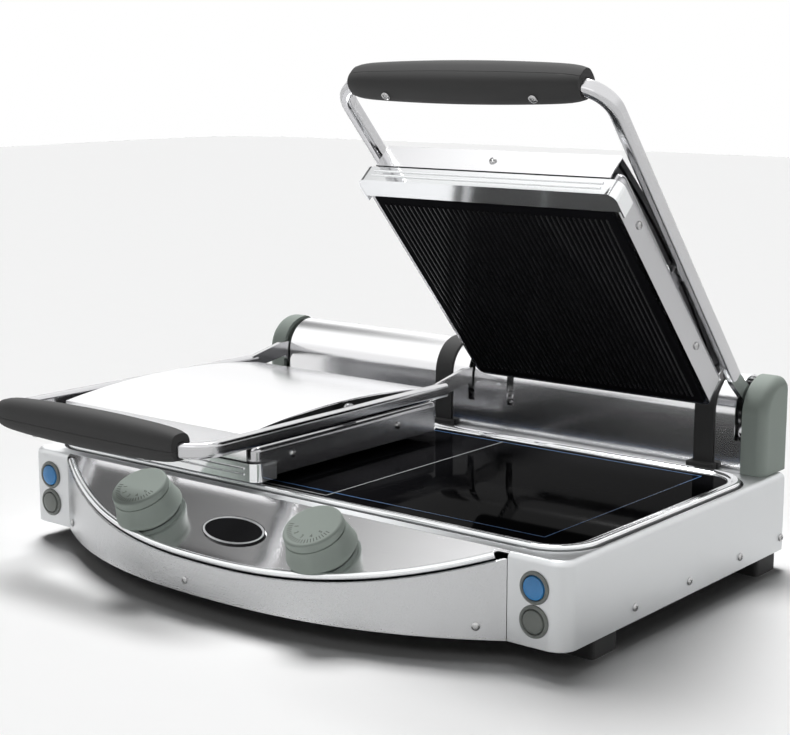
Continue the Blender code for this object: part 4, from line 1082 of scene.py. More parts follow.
@dataclass
class Knob:
    """A turned knob with a ring groove, a flared skirt and a printed scale."""

    side: Side
    place: Matrix
    face: float = 0.0255
    skirt: float = 0.0305
    seat: float = 0.0275
    lift: float = 0.0045
    height: float = 0.0255
    face_round: float = 0.0022
    groove_share: float = 0.72
    flare_power: float = 1.35
    bore: float = 0.0035
    bore_depth: float = 0.014
    strokes: int = 22
    stroke_size: tuple[float, float, float] = (0.0042, 0.0007, 0.0001)
    stroke_radius: float = 0.0195
    numeral_radius: float = 0.0138
    numeral_size: float = 0.0052
    print_rise: float = 0.00006

    def profile(self) -> Outline:
        """The outer side from the middle of the face to the skirt, then under it to the bore's end."""
        top, low, f, s = self.lift + self.height, self.lift, self.face, self.skirt
        groove, round_off = low + self.height * self.groove_share, self.face_round
        points = [(0.0, top), (f - round_off, top)]
        points += [(f - round_off + x, top - round_off + y) for x, y in arc(0.0, 0.0, round_off, 80, 10, 5)]
        points += [(f + 0.0004, groove + 0.0009), (f - 0.0004, groove + 0.0005), (f - 0.0004, groove - 0.0005),
                   (f + 0.0005, groove - 0.0009)]
        for i in range(1, 9):
            share = i / 8
            flare = share**self.flare_power
            points.append((f + 0.0005 + (s - f - 0.0005) * flare, groove - (groove - low - 0.0016) * share))
        points += [(s, low + 0.0004), (s - 0.0008, low), (self.seat, low), (self.seat - 0.0006, 0.0008)]
        bore, end = self.bore, low + self.bore_depth
        return points + [(bore, 0.0008), (bore, end), (0.0, end)]

    def numerals(self, level: float) -> list[bpy.types.Mesh]:
        """Plain numerals round the scale.

        Args:
            level: The face's height.

        Returns:
            One mesh for each numeral.
        """
        made = []
        for index in range(5):
            font = bpy.data.curves.new("numeral", "FONT")
            font.body = str(index + 1)
            font.size = self.numeral_size
            font.align_x, font.align_y = "CENTER", "CENTER"
            font.extrude = 0.00005
            angle = math.radians(200.0 + index * 35.0)
            mesh = baked(add_object(font, "numeral"), "numeral")
            x, y = self.numeral_radius * math.cos(angle), self.numeral_radius * math.sin(angle)
            spot = Matrix.Translation((x, y, level + self.print_rise))
            made.append(placed(mesh, spot @ Matrix.Rotation(angle + math.pi / 2, 4, "Z")))
        return made

    def build(self) -> None:
        """Build the knob and its scale on the knob's body."""
        word = self.side.word
        body = f"{word}_temperature_knob"
        knob = turned(self.profile(), 96)
        Piece(f"{word}_knob_body", knob, body, GREY, (f"{word}_knob",), "grey_plastic", 0.0,
              pose=self.place).build()
        level = self.lift + self.height
        seed = bpy.data.meshes.new("seed")
        values = {"Count": self.strokes, "Radius": self.stroke_radius, "Start": math.radians(190.0),
                  "Sweep": math.radians(160.0), "Size": self.stroke_size, "Material": INK.material()}
        lifted = Matrix.Translation((0.0, 0.0, level + self.print_rise))
        strokes = placed(tick_tree().run(seed, values), lifted)
        marks = joined([strokes] + self.numerals(level))
        Piece(f"{word}_knob_scale", marks, body, INK, (), "grey_plastic", 0.0, pose=self.place).build()
        dress(f"{word}_knob_spindle", SCREW)


@dataclass
class PushButtons:
    """The two push buttons of one tower in their round bezels."""

    side: Side
    radius: float = 0.0098
    bezel: float = 0.0133
    proud: float = 0.0020
    cap_proud: float = 0.0034

    def build(self) -> None:
        """Build the buttons and the bezels' visible rings."""
        word = self.side.word
        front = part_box("casing_shell")[0].y
        rings = []
        for level in ("upper", "lower"):
            low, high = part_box(f"{word}_{level}_button")
            spot = Matrix.Translation(((low.x + high.x) / 2, front, (low.z + high.z) / 2))
            stand = spot @ Matrix.Rotation(math.radians(90.0), 4, "X")
            inner, r = self.radius + 0.0006, self.bezel
            ring = [(inner, self.proud * 0.6), (inner + 0.0006, self.proud * 0.95),
                    (inner + 0.0012, self.proud), (r - 0.0010, self.proud * 0.85),
                    (r - 0.0002, self.proud * 0.5), (r, GAP), (inner + 0.001, GAP),
                    (inner + 0.001, -0.0030), (inner, -0.0030), (inner, self.proud * 0.6)]
            rings.append(placed(turned(ring, 56), stand))
            h = self.cap_proud
            cap = [(0.0, h), (self.radius * 0.45, h - 0.0001), (self.radius * 0.78, h - 0.0005),
                   (self.radius * 0.93, h - 0.0012), (self.radius, h - 0.0024), (self.radius, -0.0008),
                   (0.0, -0.0008)]
            finish, slot = (BLUE, "blue_lens") if level == "upper" else (BEZEL, "grey_plastic")
            Piece(f"{word}_{level}_lens", turned(cap, 48), f"{word}_{level}_push_button", finish,
                  (f"{word}_{level}_button",), slot, 0.0, pose=stand).build()
        Piece(f"{word}_button_rings", joined(rings), "base", BEZEL, (), "grey_plastic", 0.0).build()
        dress(f"{word}_switch_block", BEZEL)


@dataclass
class Cooktop:
    """The pressed rim, the black glass and its printed lines."""

    casing: Casing
    corner: float = 0.040
    width: float = 0.012
    zone_left: float = -0.245
    zone_right: float = 0.258
    zone_front: float = 0.048
    zone_rear: float = 0.300
    divider_left: float = -0.24
    divider_right: float = 0.039
    divider_front: float = 0.037
    blue_width: float = 0.0011
    white_width: float = 0.0010

    def outline(self, inset: float) -> Outline:
        """The rim's rounded outline, moved inwards."""
        low, high = self.casing.rim_low, self.casing.rim_high
        corner = max(self.corner - inset, 0.004)
        return rounded(low.x + inset, high.x - inset, low.y + inset, high.y - inset, corner)

    def rim(self) -> bpy.types.Mesh:
        """The pressed rim: its section is swept round the outline, ring by ring."""
        base, top = self.casing.rim_low.z, self.casing.rim_high.z
        section = [(0.0, base), (0.0, top - 0.0024)]
        section += [(0.0026 - 0.0026 * math.cos(a), top - 0.0024 + 0.0024 * math.sin(a))
                    for a in (math.radians(d) for d in range(20, 91, 14))]
        section += [(0.0052, top - 0.0002), (0.0068, top - 0.0010), (0.0082, top - 0.0018),
                    (0.0098, top - 0.0016), (0.0110, top - 0.0019), (0.0118, top - 0.0027),
                    (self.width, top - 0.0038), (self.width, base)]
        rings = [[(x, y, z) for x, y in self.outline(inset)] for inset, z in section]
        return lofted(rings, "rim", looped=True)

    def ribbon(self, points: Sequence[Point2], width: float, level: float) -> bpy.types.Mesh:
        """A thin printed line through plan points."""
        left, right = [], []
        for i, (x, y) in enumerate(points):
            ax, ay = points[max(i - 1, 0)]
            bx, by = points[min(i + 1, len(points) - 1)]
            length = math.hypot(bx - ax, by - ay)
            nx, ny = -(by - ay) / length, (bx - ax) / length
            scale = width / 2 * (1.4142 if 0 < i < len(points) - 1 else 1.0)
            left.append((x + nx * scale, y + ny * scale))
            right.append((x - nx * scale, y - ny * scale))
        return sheet([left + right[::-1]], level, level + 0.00008)

    def build(self) -> None:
        """Build the rim, the glass and the printed lines."""
        Piece("cooktop_rim", self.rim(), "base", POLISHED, ("deck_rim",), "polished_steel", 0.0).build()
        low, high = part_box("cooktop_glass")
        glass = sheet([self.outline(self.width + GAP)], low.z, high.z)
        Piece("cooktop_pane", glass, "base", GLASS, ("cooktop_glass",), "black_glass", 0.0006).build()
        y0 = self.casing.front
        left, right = self.zone_left, self.zone_right
        front, rear = y0 + self.zone_front, y0 + self.zone_rear
        blue = [(left, front), (right, front), (right, rear), (left, rear)]
        lines = [self.ribbon([blue[i], blue[(i + 1) % 4]], self.blue_width, high.z + 0.00004) for i in range(4)]
        Piece("cooking_zone_line", joined(lines), "base", BLUE_INK, (), "black_glass", 0.0).build()
        front, middle = y0 + self.divider_front, self.divider_right
        white = [(self.divider_left, front), (middle, front), (middle, rear)]
        mesh = joined([self.ribbon(white[i:i + 2], self.white_width, high.z + 0.00006) for i in range(2)])
        Piece("zone_divider_line", mesh, "base", WHITE_INK, (), "black_glass", 0.0).build()
        for side in Side:
            dress(f"{side.word}_lower_heater", DARK_METAL)
            dress(f"{side.word}_thermostat", DARK_METAL)


@dataclass
class HingeHousing:
    """The steel housing along the back, its end caps and cable bands."""

    casing: Casing
    front_radius: float = 0.033
    rear_radius: float = 0.012
    wall: float = 0.0015
    band_offset: float = 0.092
    band_width: float = 0.020
    band_thickness: float = 0.0018
    slot_height: float = 0.120
    slot_depth: float = 0.044
    cap_proud: float = 0.0015
    cap_wall: float = 0.0025
    cap_round: float = 0.009

    def __post_init__(self) -> None:
        """Read the housing's box from the frame."""
        self.low, self.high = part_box("hinge_cover")

    def outline(self, grow: float, bottom: float) -> Outline:
        """The housing's side view, grown outwards, from the front foot to the rear foot."""
        front, rear, top = self.low.y - grow, self.high.y + grow, self.high.z + grow
        near, back = self.front_radius + grow, self.rear_radius + grow
        points = [(front, bottom)] + arc(front + near, top - near, near, 180, 90, 20)
        return points + arc(rear - back, top - back, back, 90, 0, 10) + [(rear, bottom)]

    def cover(self) -> bpy.types.Mesh:
        """The rolled sheet with its four arm slots."""
        outline = self.outline(0.0, self.low.z) + self.outline(-self.wall, self.low.z)[::-1]
        mesh = side_sheet([outline], self.low.x, self.high.x)
        for side in Side:
            for neck in (-NECK_OFFSET, NECK_OFFSET):
                x = side.value * ARM_OFFSET + neck
                low = (x - 0.004, self.low.y - self.wall, self.slot_height)
                high = (x + 0.00415, self.low.y + self.slot_depth, self.high.z + self.wall)
                mesh = carved(mesh, block(low, high))
        return mesh

    def cap(self, side: Side) -> bpy.types.Mesh:
        """One rounded plastic end cap."""
        node_low, node_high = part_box(f"{side.word}_end_cap")
        inner = min(abs(node_low.x), abs(node_high.x))
        outer = max(abs(node_low.x), abs(node_high.x))
        cap = side_sheet([self.outline(self.cap_proud, self.low.z)], inner, outer)
        cap = bent(cap, self.cap_round, 10, lambda place: place.x > outer - 1e-4,
                   lambda place: place.z > self.low.z + 0.001)
        hollow = self.outline(-self.cap_wall, self.low.z + self.cap_wall)
        cap = carved(cap, side_sheet([hollow], inner - 0.002, (inner + outer) / 2))
        if side is Side.LEFT:
            cap.transform(Matrix.Diagonal((-1.0, 1.0, 1.0, 1.0)))
            cap.flip_normals()
        return cap

    def cable_band(self, side: Side) -> bpy.types.Mesh:
        """One black band over the housing with a flared foot."""
        bottom = self.low.z + GAP
        t = self.band_thickness
        outline = self.outline(GAP + t, bottom)[:-11] + self.outline(GAP, bottom)[:-11][::-1]
        x, half = side.value * ARM_OFFSET + self.band_offset, self.band_width / 2
        band = side_sheet([outline], x - half, x + half)
        face = self.low.y - GAP - t / 2
        foot = rounded(x - 0.014, x + 0.014, face - 0.009, face, 0.003, GAP, 6)
        return carved(band, sheet([foot], bottom, bottom + 0.006), "UNION")

    def build(self) -> None:
        """Build the cover, the caps and the bands; dress what is inside."""
        Piece("hinge_cover_sheet", self.cover(), "base", HOUSING, ("hinge_cover",), "satin_steel", 0.0).build()
        dress("hinge_frame", DARK_METAL)
        for side in Side:
            word = side.word
            cap, band = self.cap(side), self.cable_band(side)
            Piece(f"{word}_housing_cap", cap, "base", GREY, (f"{word}_end_cap",), "grey_plastic", 0.0).build()
            Piece(f"{word}_cable_guide", band, "base", BLACK, (f"{word}_cable_band",), "black_plastic").build()
            dress(f"{word}_hinge_shaft", SCREW)
            dress(f"{word}_balance_spring", DARK_METAL)


@dataclass
class Arm:
    """One lid's arm: the bent flat-sided bar with its necks, and the grip with its screws."""

    side: Side
    half_width: float = 0.0055
    half_height: float = 0.0070
    section_corner: float = 0.0040
    bend: float = 0.026
    reach: float = 0.413
    rear_reach: float = 0.066
    above: float = 0.012
    grip_length: float = 0.230
    grip_half_height: float = 0.0175
    grip_end_half_height: float = 0.0140
    grip_half_depth: float = 0.0150
    grip_rise: float = 0.003
    rear_half_span: float = 0.1285
    spread: float = 0.0055
    hub: float = 0.012
    hub_bore: float = 0.0073
    neck_half: float = 0.0025
    grip_screw_x: float = 0.0736

    def __post_init__(self) -> None:
        """Read the hinge from the frame's joints."""
        joint = next(j for j in frame["joints"] if j["name"] == f"{self.side.word}_arm_hinge")
        self.opening = -math.radians(joint["range_deg"][0])
        self.pose = Matrix.Translation(joint["pos_m"]) @ Matrix.Rotation(-self.opening, 4, "X")
        self.body = f"{self.side.word}_arm"

    def half_span(self, reach: float) -> float:
        """Half the arm's width at a reach from the hinge."""
        share = (reach - self.rear_reach) / (self.reach - self.bend - self.rear_reach)
        return self.rear_half_span + share * self.spread

    def centre_line(self) -> list[tuple[float, float, float]]:
        """The bar's centre line from one rear end round the front to the other."""
        corner = self.reach - self.bend
        side = self.half_span(corner)
        half = [(self.half_span(self.rear_reach), -self.rear_reach)]
        half += arc(side - self.bend, -corner, self.bend, 0, -90, 16)
        return [(x, y, 0.0) for x, y in half] + [(-x, y, 0.0) for x, y in half[::-1]]

    def frame_mesh(self) -> bpy.types.Mesh:
        """The flat-sided bar with a flat neck and a hub welded to each end."""
        mesh = bar(self.centre_line(), self.half_width, self.half_height, self.section_corner)
        mesh = placed(mesh, Matrix.Translation((0.0, 0.0, self.above)))
        low, high = self.above - self.half_height + GAP, self.above + self.half_height - GAP
        outline = [(-self.rear_reach - 0.008, high), (-self.rear_reach - 0.008, low), (-0.023, low + 0.0075)]
        outline += arc(0.0, 0.0, self.hub, 175, 405, 30) + [(-0.017, high + 0.009), (-0.031, high + 0.009)]
        bore = round_hole(0.0, 0.0, self.hub_bore, 32)
        for x in (-NECK_OFFSET, NECK_OFFSET):
            neck = side_sheet([outline, bore], x - self.neck_half, x + self.neck_half)
            mesh = carved(mesh, neck, "UNION")
        return mesh

    def grip_solid(self) -> bpy.types.Mesh:
        """The grip's bulged bar, lofted from rounded sections."""
        rings, around = 41, 48
        loops = []
        for i in range(rings):
            t = -1.0 + 2.0 * i / (rings - 1)
            swell, end = 1.0 - t * t, 1.0 - 0.16 * abs(t) ** 16
            extra = (self.grip_half_height - self.grip_end_half_height) * swell
            high = (self.grip_end_half_height + extra) * end
            deep = self.grip_half_depth * (0.86 + 0.14 * swell) * end
            loop = []
            for k in range(around):
                a = 2 * math.pi * k / around
                y = math.copysign(abs(math.cos(a)) ** 0.75, math.cos(a)) * deep
                z = math.copysign(abs(math.sin(a)) ** 0.75, math.sin(a)) * high
                loop.append((t * self.grip_length / 2, y, z))
            loops.append(loop)
        return lofted(loops, "grip")

    def grip_half(self, sign: float) -> bpy.types.Mesh:
        """One half shell of the grip, split at the bar's middle, with the bar's channel."""
        mesh = placed(self.grip_solid(), Matrix.Translation((0.0, -self.reach, self.above + self.grip_rise)))
        channel = bar(self.centre_line(), self.half_width + GAP, self.half_height + GAP,
                      self.section_corner + GAP)
        mesh = carved(mesh, placed(channel, Matrix.Translation((0.0, 0.0, self.above))))
        edge = self.above + sign * GAP / 2
        low, high = sorted((edge, edge - sign * 0.1))
        return carved(mesh, block((-0.2, -self.reach - 0.1, low), (0.2, -self.reach + 0.1, high)))

    def build(self) -> None:
        """Build the arm, the grip and its screws, and dress the studs."""
        word, pose, body = self.side.word, self.pose, self.body
        Piece(f"{word}_arm_tube", self.frame_mesh(), body, ARM_STEEL, (f"{word}_arm_frame",), "polished_steel",
              0.0, pose=pose).build()
        for shell, node, sign in (("upper", "top", 1.0), ("lower", "bottom", -1.0)):
            half = self.grip_half(sign)
            Piece(f"{word}_grip_{shell}_shell", half, body, BLACK, (f"{word}_grip_{node}",), "black_plastic",
                  0.0004, pose=pose).build()
        z = self.above + self.grip_rise - self.grip_half_height + 0.0008
        places = (-self.grip_screw_x, self.grip_screw_x)
        heads = ScrewSet(0.0040, 0.0016).mesh([((x, -self.reach + 0.001, z), (0.0, 0.0, -1.0)) for x in places])
        Piece(f"{word}_grip_screws", heads, body, SCREW, (), "polished_steel", 0.0, pose=pose).build()
        for stud in ("left", "right"):
            dress(f"{word}_lid_{stud}_stud", SCREW)


@dataclass
class Lid:
    """One ribbed lid: frame, plate, cover, inner box, gutter and screws."""

    arm: Arm
    half: float = 0.126
    rear: float = -0.072
    length: float = 0.262
    corner: float = 0.008
    shoulder: float = 0.0055
    top_flange: float = 0.009
    edge_flange: float = 0.0047
    wall: float = 0.0015
    wall_height: float = 0.029
    plate_border: float = 0.0035
    plate_front_border: float = 0.0145
    rib_margin: float = 0.0085
    ribs: int = 44
    cover_inset: float = 0.007
    cover_proud: float = 0.0045
    edge_rise: float = 0.0112
    crown: float = 0.0097
    cover_sheet: float = 0.0014
    skirt: float = 0.024
    guard_height: float = 0.0145
    guard_flange: float = 0.020
    guard_back: float = 0.026
    guard_side: float = 0.005
    guard_corner: float = 0.009
    guard_bead: float = 0.0011
    rib_radius: float = 0.0012
    pivot: float = 0.205
    pivot_rise: float = 0.012
    stud_bore: float = 0.0043
    ear_round: float = 0.008
    box_inset: float = 0.014
    screw_reaches: tuple[float, ...] = (0.136, 0.286)

    def __post_init__(self) -> None:
        """Take the lid's levels from the frame's shut lid."""
        hinge = next(j for j in frame["joints"] if j["name"] == "left_arm_hinge")["pos_m"]
        low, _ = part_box("left_lid_frame")
        plate_low, plate_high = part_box("left_lid_plate")
        self.bottom = low.z - hinge[2]
        self.plate_low, self.plate_high = plate_low.z - hinge[2], plate_high.z - hinge[2]
        self.top = self.bottom + self.wall_height
        self.front = self.rear - self.length
        self.word = self.arm.side.word
        self.body = f"{self.word}_lid"

    def outline(self, inset: float) -> Outline:
        """The lid's plan outline, moved inwards."""
        radius = max(self.corner - inset, 0.0005)
        return rounded(-self.half + inset, self.half - inset, self.front + inset, self.rear - inset, radius,
                       steps=8)

    def wall_ring(self) -> bpy.types.Mesh:
        """The side walls, folded in at the top and bottom, with an ear on each side for the studs."""
        t = self.wall
        mesh = top_bent(sheet([self.outline(0.0)], self.bottom, self.top), self.shoulder, self.top)
        hollow = sheet([self.outline(t)], self.bottom - t, self.top - t)
        mesh = carved(mesh, top_bent(hollow, self.shoulder - t, self.top - t))
        mesh = carved(mesh, sheet([self.outline(self.top_flange)], self.top - 0.01, self.top + 0.01))
        lip = [self.outline(0.0007), self.outline(self.edge_flange)]
        mesh = carved(mesh, sheet(lip, self.bottom + 0.0001, self.bottom + 0.0011), "UNION")
        pivot, above = self.pivot, self.pivot_rise
        stud = self.arm.half_span(pivot) - self.arm.half_width - GAP
        outer = stud - 0.0009
        inner = outer - 0.003
        foot = self.top - self.wall_height / 3
        for sign in (-1.0, 1.0):
            outline = [(-pivot - 0.010, foot), (-pivot + 0.010, foot)]
            outline += arc(-pivot, above, self.ear_round, 0, 180, 20)
            left, right = sorted((sign * inner, sign * outer))
            ear = side_sheet([outline, round_hole(-pivot, above, self.stud_bore, 24)], left, right)
            mesh = carved(mesh, ear, "UNION")
            left, right = sorted((sign * (inner + 0.00075), sign * (self.half - 0.00075)))
            bridge = block((left, -pivot - 0.0098, foot), (right, -pivot + 0.0098, foot + 0.003))
            mesh = carved(mesh, bridge, "UNION")
        return mesh

    def plate(self) -> bpy.types.Mesh:
        """The plate's slab, above its ribs."""
        inset = self.wall + self.plate_border
        front = self.front + self.wall + self.plate_front_border
        outline = rounded(-self.half + inset, self.half - inset, front, self.rear - inset, 0.002, steps=5)
        return sheet([outline], self.plate_low + self.rib_radius, self.plate_high)

    def rib_mesh(self) -> bpy.types.Mesh:
        """The ribs under the plate, front to back."""
        inset = self.wall + self.plate_border + self.rib_margin
        front = self.front + self.wall + self.plate_front_border + self.rib_margin
        width = 2 * (self.half - inset)
        pitch = width / (self.ribs - 1)
        z = self.plate_low + self.rib_radius
        values = {"Count": self.ribs, "First": (-width / 2, 0.0, z), "Pitch": (pitch, 0.0, 0.0),
                  "Front": (0.0, front, 0.0), "Rear": (0.0, self.rear - inset, 0.0),
                  "Radius": self.rib_radius, "Material": RIBBED_GLASS.material()}
        return rib_tree().run(bpy.data.meshes.new("seed"), values)

    def arch(self, inset: float, steps: int = 40) -> Outline:
        """The cover's arch from front to rear, moved inwards."""
        front = self.front - self.cover_proud
        half = (self.rear - front) / 2
        radius = (half**2 + self.crown**2) / (2 * self.crown)
        middle = (front + self.rear) / 2
        points = []
        for i in range(steps + 1):
            y = front + inset + (self.rear - front - 2 * inset) * i / steps
            rise = math.sqrt(radius**2 - (y - middle) ** 2) - (radius - self.crown)
            points.append((y, self.top + self.edge_rise - inset + rise))
        return points

    def cover(self) -> bpy.types.Mesh:
        """The polished arch with its front skirt and short rear return."""
        outer, inner = self.arch(0.0), self.arch(self.cover_sheet)
        front_foot = outer[0][1] - self.skirt
        rear_foot = outer[-1][1] - self.edge_rise * 0.7
        outline = [(outer[0][0], front_foot)] + outer + [(outer[-1][0], rear_foot), (inner[-1][0], rear_foot)]
        outline += inner[::-1] + [(inner[0][0], front_foot)]
        half = self.half - self.cover_inset
        return side_sheet([outline], -half, half)

    def inner_box(self) -> bpy.types.Mesh:
        """The heater's closed box under the cover."""
        top = self.arch(self.cover_sheet + self.wall)
        top = [(max(min(y, self.rear - self.wall), self.front + self.wall + 0.0001), z) for y, z in top]
        points = [p for i, p in enumerate(top) if i == 0 or p[0] != top[i - 1][0]]
        floor = self.plate_high + GAP
        outline = [(points[0][0], floor)] + points + [(points[-1][0], floor)]
        return side_sheet([outline], -self.half + self.box_inset, self.half - self.box_inset)

    def gutter(self) -> bpy.types.Mesh:
        """The grease guard across the front, turned back round both corners."""
        half, front = self.half + self.guard_side, self.front - self.cover_proud
        back, near, t = front + self.guard_back, self.guard_corner, self.wall
        bottom, top = self.bottom - t - GAP, self.bottom + self.guard_height
        outer = [(-half, back)] + arc(-half + near, front + near, near, 180, 270, 12)
        outer += arc(half - near, front + near, near, 270, 360, 12) + [(half, back)]
        inner = [(-half + t, back)] + arc(-half + near, front + near, near - t, 180, 270, 12)
        inner += arc(half - near, front + near, near - t, 270, 360, 12) + [(half - t, back)]
        mesh = sheet([outer + inner[::-1]], bottom, top)
        edge, side = self.front + t + self.plate_front_border - 0.0006, half - t / 2
        flange = rounded(-side, side, max(front + t / 2, edge - self.guard_flange), edge, near - t / 2, 0.0006)
        return carved(mesh, sheet([flange], bottom + 0.0001, bottom + t), "UNION")

    def guard_beads(self) -> bpy.types.Mesh:
        """Two rolled beads along the guard's front, clear of its rounded ends."""
        front, reach = self.front - self.cover_proud, self.half - 0.010
        meshes = []
        for share in (0.30, 0.66):
            z = self.bottom + self.guard_height * share
            line = [(x, front, z) for x in (-reach, -reach / 2, reach / 2, reach)]
            meshes.append(tube(line, self.guard_bead, 3))
        return joined(meshes)

    def screw_seats(self) -> list[tuple[tuple[float, float, float], tuple[float, float, float]]]:
        """The side walls' screws and the screw in the skirt."""
        middle = self.bottom + self.wall_height * 0.52
        seats = []
        for sign in (-1.0, 1.0):
            for reach in self.screw_reaches:
                seats.append(((sign * self.half, -reach, middle), (sign, 0.0, 0.0)))
        y, z = self.arch(0.0)[0]
        return seats + [((0.0, y, z - self.skirt / 2), (0.0, -1.0, 0.0))]

    def build(self) -> None:
        """Build and dress the lid's pieces."""
        w, body, pose = self.word, self.body, self.arm.pose
        Piece(f"{w}_lid_walls", self.wall_ring(), body, WALL, (f"{w}_lid_frame",), "satin_steel", 0.0002,
              pose=pose).build()
        Piece(f"{w}_lid_slab", self.plate(), body, GLASS, (f"{w}_lid_plate",), "black_glass", 0.0006,
              pose=pose).build()
        Piece(f"{w}_lid_ribs", self.rib_mesh(), body, RIBBED_GLASS, (), "black_glass", 0.0, pose=pose).build()
        Piece(f"{w}_lid_arch", self.cover(), body, COVER, (f"{w}_lid_cover",), "polished_steel", 0.0003,
              pose=pose).build()
        Piece(f"{w}_lid_inner_box", self.inner_box(), body, DARK_METAL, (f"{w}_lid_heater",),
              "insulated_element", 0.0005, pose=pose).build()
        Piece(f"{w}_grease_guard", self.gutter(), body, POLISHED, (f"{w}_lid_gutter",), "polished_steel",
              0.0002, pose=pose).build()
        Piece(f"{w}_guard_beads", self.guard_beads(), body, POLISHED, (), "polished_steel", 0.0,
              pose=pose).build()
        heads = ScrewSet().mesh(self.screw_seats())
        Piece(f"{w}_lid_screw_heads", heads, body, SCREW, (), "polished_steel", 0.0, pose=pose).build()


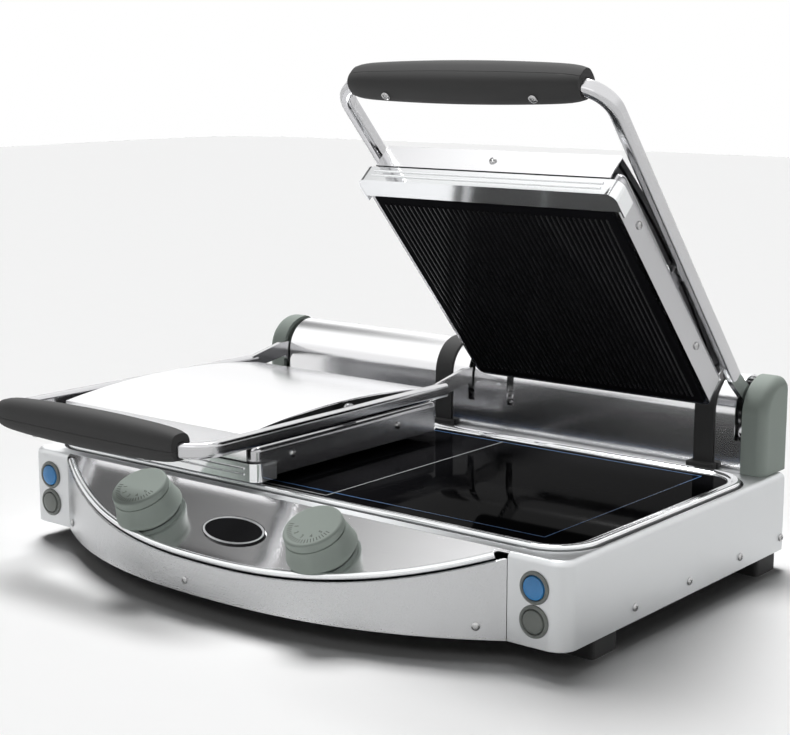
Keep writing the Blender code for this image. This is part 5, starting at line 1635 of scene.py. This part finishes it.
@dataclass
class Studio:
    """The camera, the floor and the soft lights."""

    eye: tuple[float, float, float] = (0.9782, -1.18525, 0.466)
    azimuth: float = math.radians(38.87)
    elevation: float = math.radians(10.47)
    lens: float = 77.5
    sun_strength: float = 3.2
    sun_way: tuple[float, float, float] = (0.30, -0.30, -0.91)
    sun_width: float = math.radians(24.0)
    low_sky: float = 1.0
    high_sky: float = 1.3
    soft_fill: float = 0.03
    patch_aim: tuple[float, float, float] = (-0.80, 0.22, 0.56)
    patch_inner: float = math.radians(7.0)
    patch_outer: float = math.radians(24.0)
    patch_tone: float = 0.10
    fill_place: tuple[float, float, float] = (0.5, -2.6, 2.4)
    fill_aim: tuple[float, float, float] = (0.0, 0.0, 0.1)
    fill_size: Point2 = (2.4, 1.4)
    fill_power: float = 5.0
    floor_half: float = 6.0

    def camera(self) -> None:
        """Make the camera, turned to its azimuth and elevation."""
        data = bpy.data.cameras.new("camera")
        data.lens = self.lens
        data.sensor_width = 36.0
        data.clip_end = 50.0
        obj = add_object(data, "camera")
        a, e = self.azimuth, self.elevation
        back = Vector((math.sin(a) * math.cos(e), -math.cos(a) * math.cos(e), math.sin(e)))
        obj.location = self.eye
        obj.rotation_mode = "QUATERNION"
        obj.rotation_quaternion = (-back).to_track_quat("-Z", "Y")
        bpy.context.scene.camera = obj

    def floor(self) -> None:
        """Make the plain floor."""
        half = self.floor_half
        obj = add_object(sheet([rounded(-half, half, -half, half, 0.5)], -0.01, 0.0), "floor")
        obj.data.materials.append(FLOOR.material())
        obj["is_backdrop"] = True

    def lamp(self, name: str, place: Sequence[float], aim: Sequence[float], size: Point2, power: float) -> None:
        """Make one area light.

        Args:
            name: The light's name.
            place: Where it stands.
            aim: The point it faces.
            size: Its width and height.
            power: Its power in watts.
        """
        data = bpy.data.lights.new(name, "AREA")
        data.shape = "RECTANGLE"
        data.size, data.size_y = size
        data.energy = power
        obj = add_object(data, name)
        obj.location = place
        obj.rotation_mode = "QUATERNION"
        obj.rotation_quaternion = (Vector(aim) - Vector(place)).to_track_quat("-Z", "Y")

    def world(self) -> None:
        """A white surround that lights soft surfaces weakly, with one dark patch for the polished sheets."""
        world = bpy.data.worlds.new("surround")
        bpy.context.scene.world = world
        world.use_nodes = True
        tree = world.node_tree

        def node(kind: str, **values: object) -> bpy.types.Node:
            """Add a node and set its properties."""
            made = tree.nodes.new(kind)
            for word, value in values.items():
                setattr(made, word, value)
            return made

        def mixed(factor: bpy.types.NodeSocket, first: object, second: object) -> bpy.types.NodeSocket:
            """Mix two sockets or grey values."""
            mix = node("ShaderNodeMix", data_type="FLOAT")
            tree.links.new(factor, mix.inputs["Factor"])
            for socket, value in ((mix.inputs[2], first), (mix.inputs[3], second)):
                if isinstance(value, bpy.types.NodeSocket):
                    tree.links.new(value, socket)
                else:
                    socket.default_value = value
            return mix.outputs[0]

        place = node("ShaderNodeTexCoord")
        split = node("ShaderNodeSeparateXYZ")
        tree.links.new(place.outputs["Generated"], split.inputs["Vector"])
        rise = node("ShaderNodeMapRange", interpolation_type="SMOOTHSTEP")
        rise.inputs["From Min"].default_value = 0.18
        rise.inputs["From Max"].default_value = 0.42
        rise.inputs["To Min"].default_value = self.low_sky
        rise.inputs["To Max"].default_value = self.high_sky
        tree.links.new(split.outputs["Z"], rise.inputs["Value"])
        dot = node("ShaderNodeVectorMath", operation="DOT_PRODUCT")
        dot.inputs[1].default_value = self.patch_aim
        tree.links.new(place.outputs["Generated"], dot.inputs[0])
        patch = node("ShaderNodeMapRange", interpolation_type="SMOOTHSTEP")
        patch.inputs["From Min"].default_value = math.cos(self.patch_outer)
        patch.inputs["From Max"].default_value = math.cos(self.patch_inner)
        tree.links.new(dot.outputs["Value"], patch.inputs["Value"])
        mirrored = mixed(patch.outputs["Result"], rise.outputs["Result"], self.patch_tone)
        path = node("ShaderNodeLightPath")
        lit = mixed(path.outputs["Is Diffuse Ray"], mirrored, self.soft_fill)
        seen = mixed(path.outputs["Is Camera Ray"], lit, 1.0)
        tree.links.new(seen, tree.nodes["Background"].inputs["Color"])

    def sun(self) -> None:
        """The overhead light that whitens the floor and draws the shadow under the casing."""
        data = bpy.data.lights.new("overhead", "SUN")
        data.energy = self.sun_strength
        data.angle = self.sun_width
        obj = add_object(data, "overhead")
        obj.rotation_mode = "QUATERNION"
        obj.rotation_quaternion = Vector(self.sun_way).to_track_quat("-Z", "Y")

    def build(self) -> None:
        """Set up the studio."""
        self.camera()
        self.floor()
        self.world()
        self.sun()
        self.lamp("front_fill", self.fill_place, self.fill_aim, self.fill_size, self.fill_power)
        bpy.context.scene.view_settings.view_transform = "Standard"


def note_size(sizes: dict[str, list[list[float]]], word: str) -> None:
    low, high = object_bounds()
    sizes[word] = [[round(v, 6) for v in low], [round(v, 6) for v in high]]


def main() -> None:
    """Build the appliance's looks and the studio."""
    logging.basicConfig(level=logging.INFO)
    sizes: dict[str, list[list[float]]] = {}
    note_size(sizes, "loaded")
    casing = Casing()
    casing.build()
    FrontPanel(casing=casing).build()
    Cooktop(casing).build()
    HingeHousing(casing).build()
    for side in Side:
        PushButtons(side).build()
        arm = Arm(side)
        arm.build()
        Lid(arm).build()
    Studio().build()
    note_size(sizes, "finished")


if __name__ == "__main__":
    main()
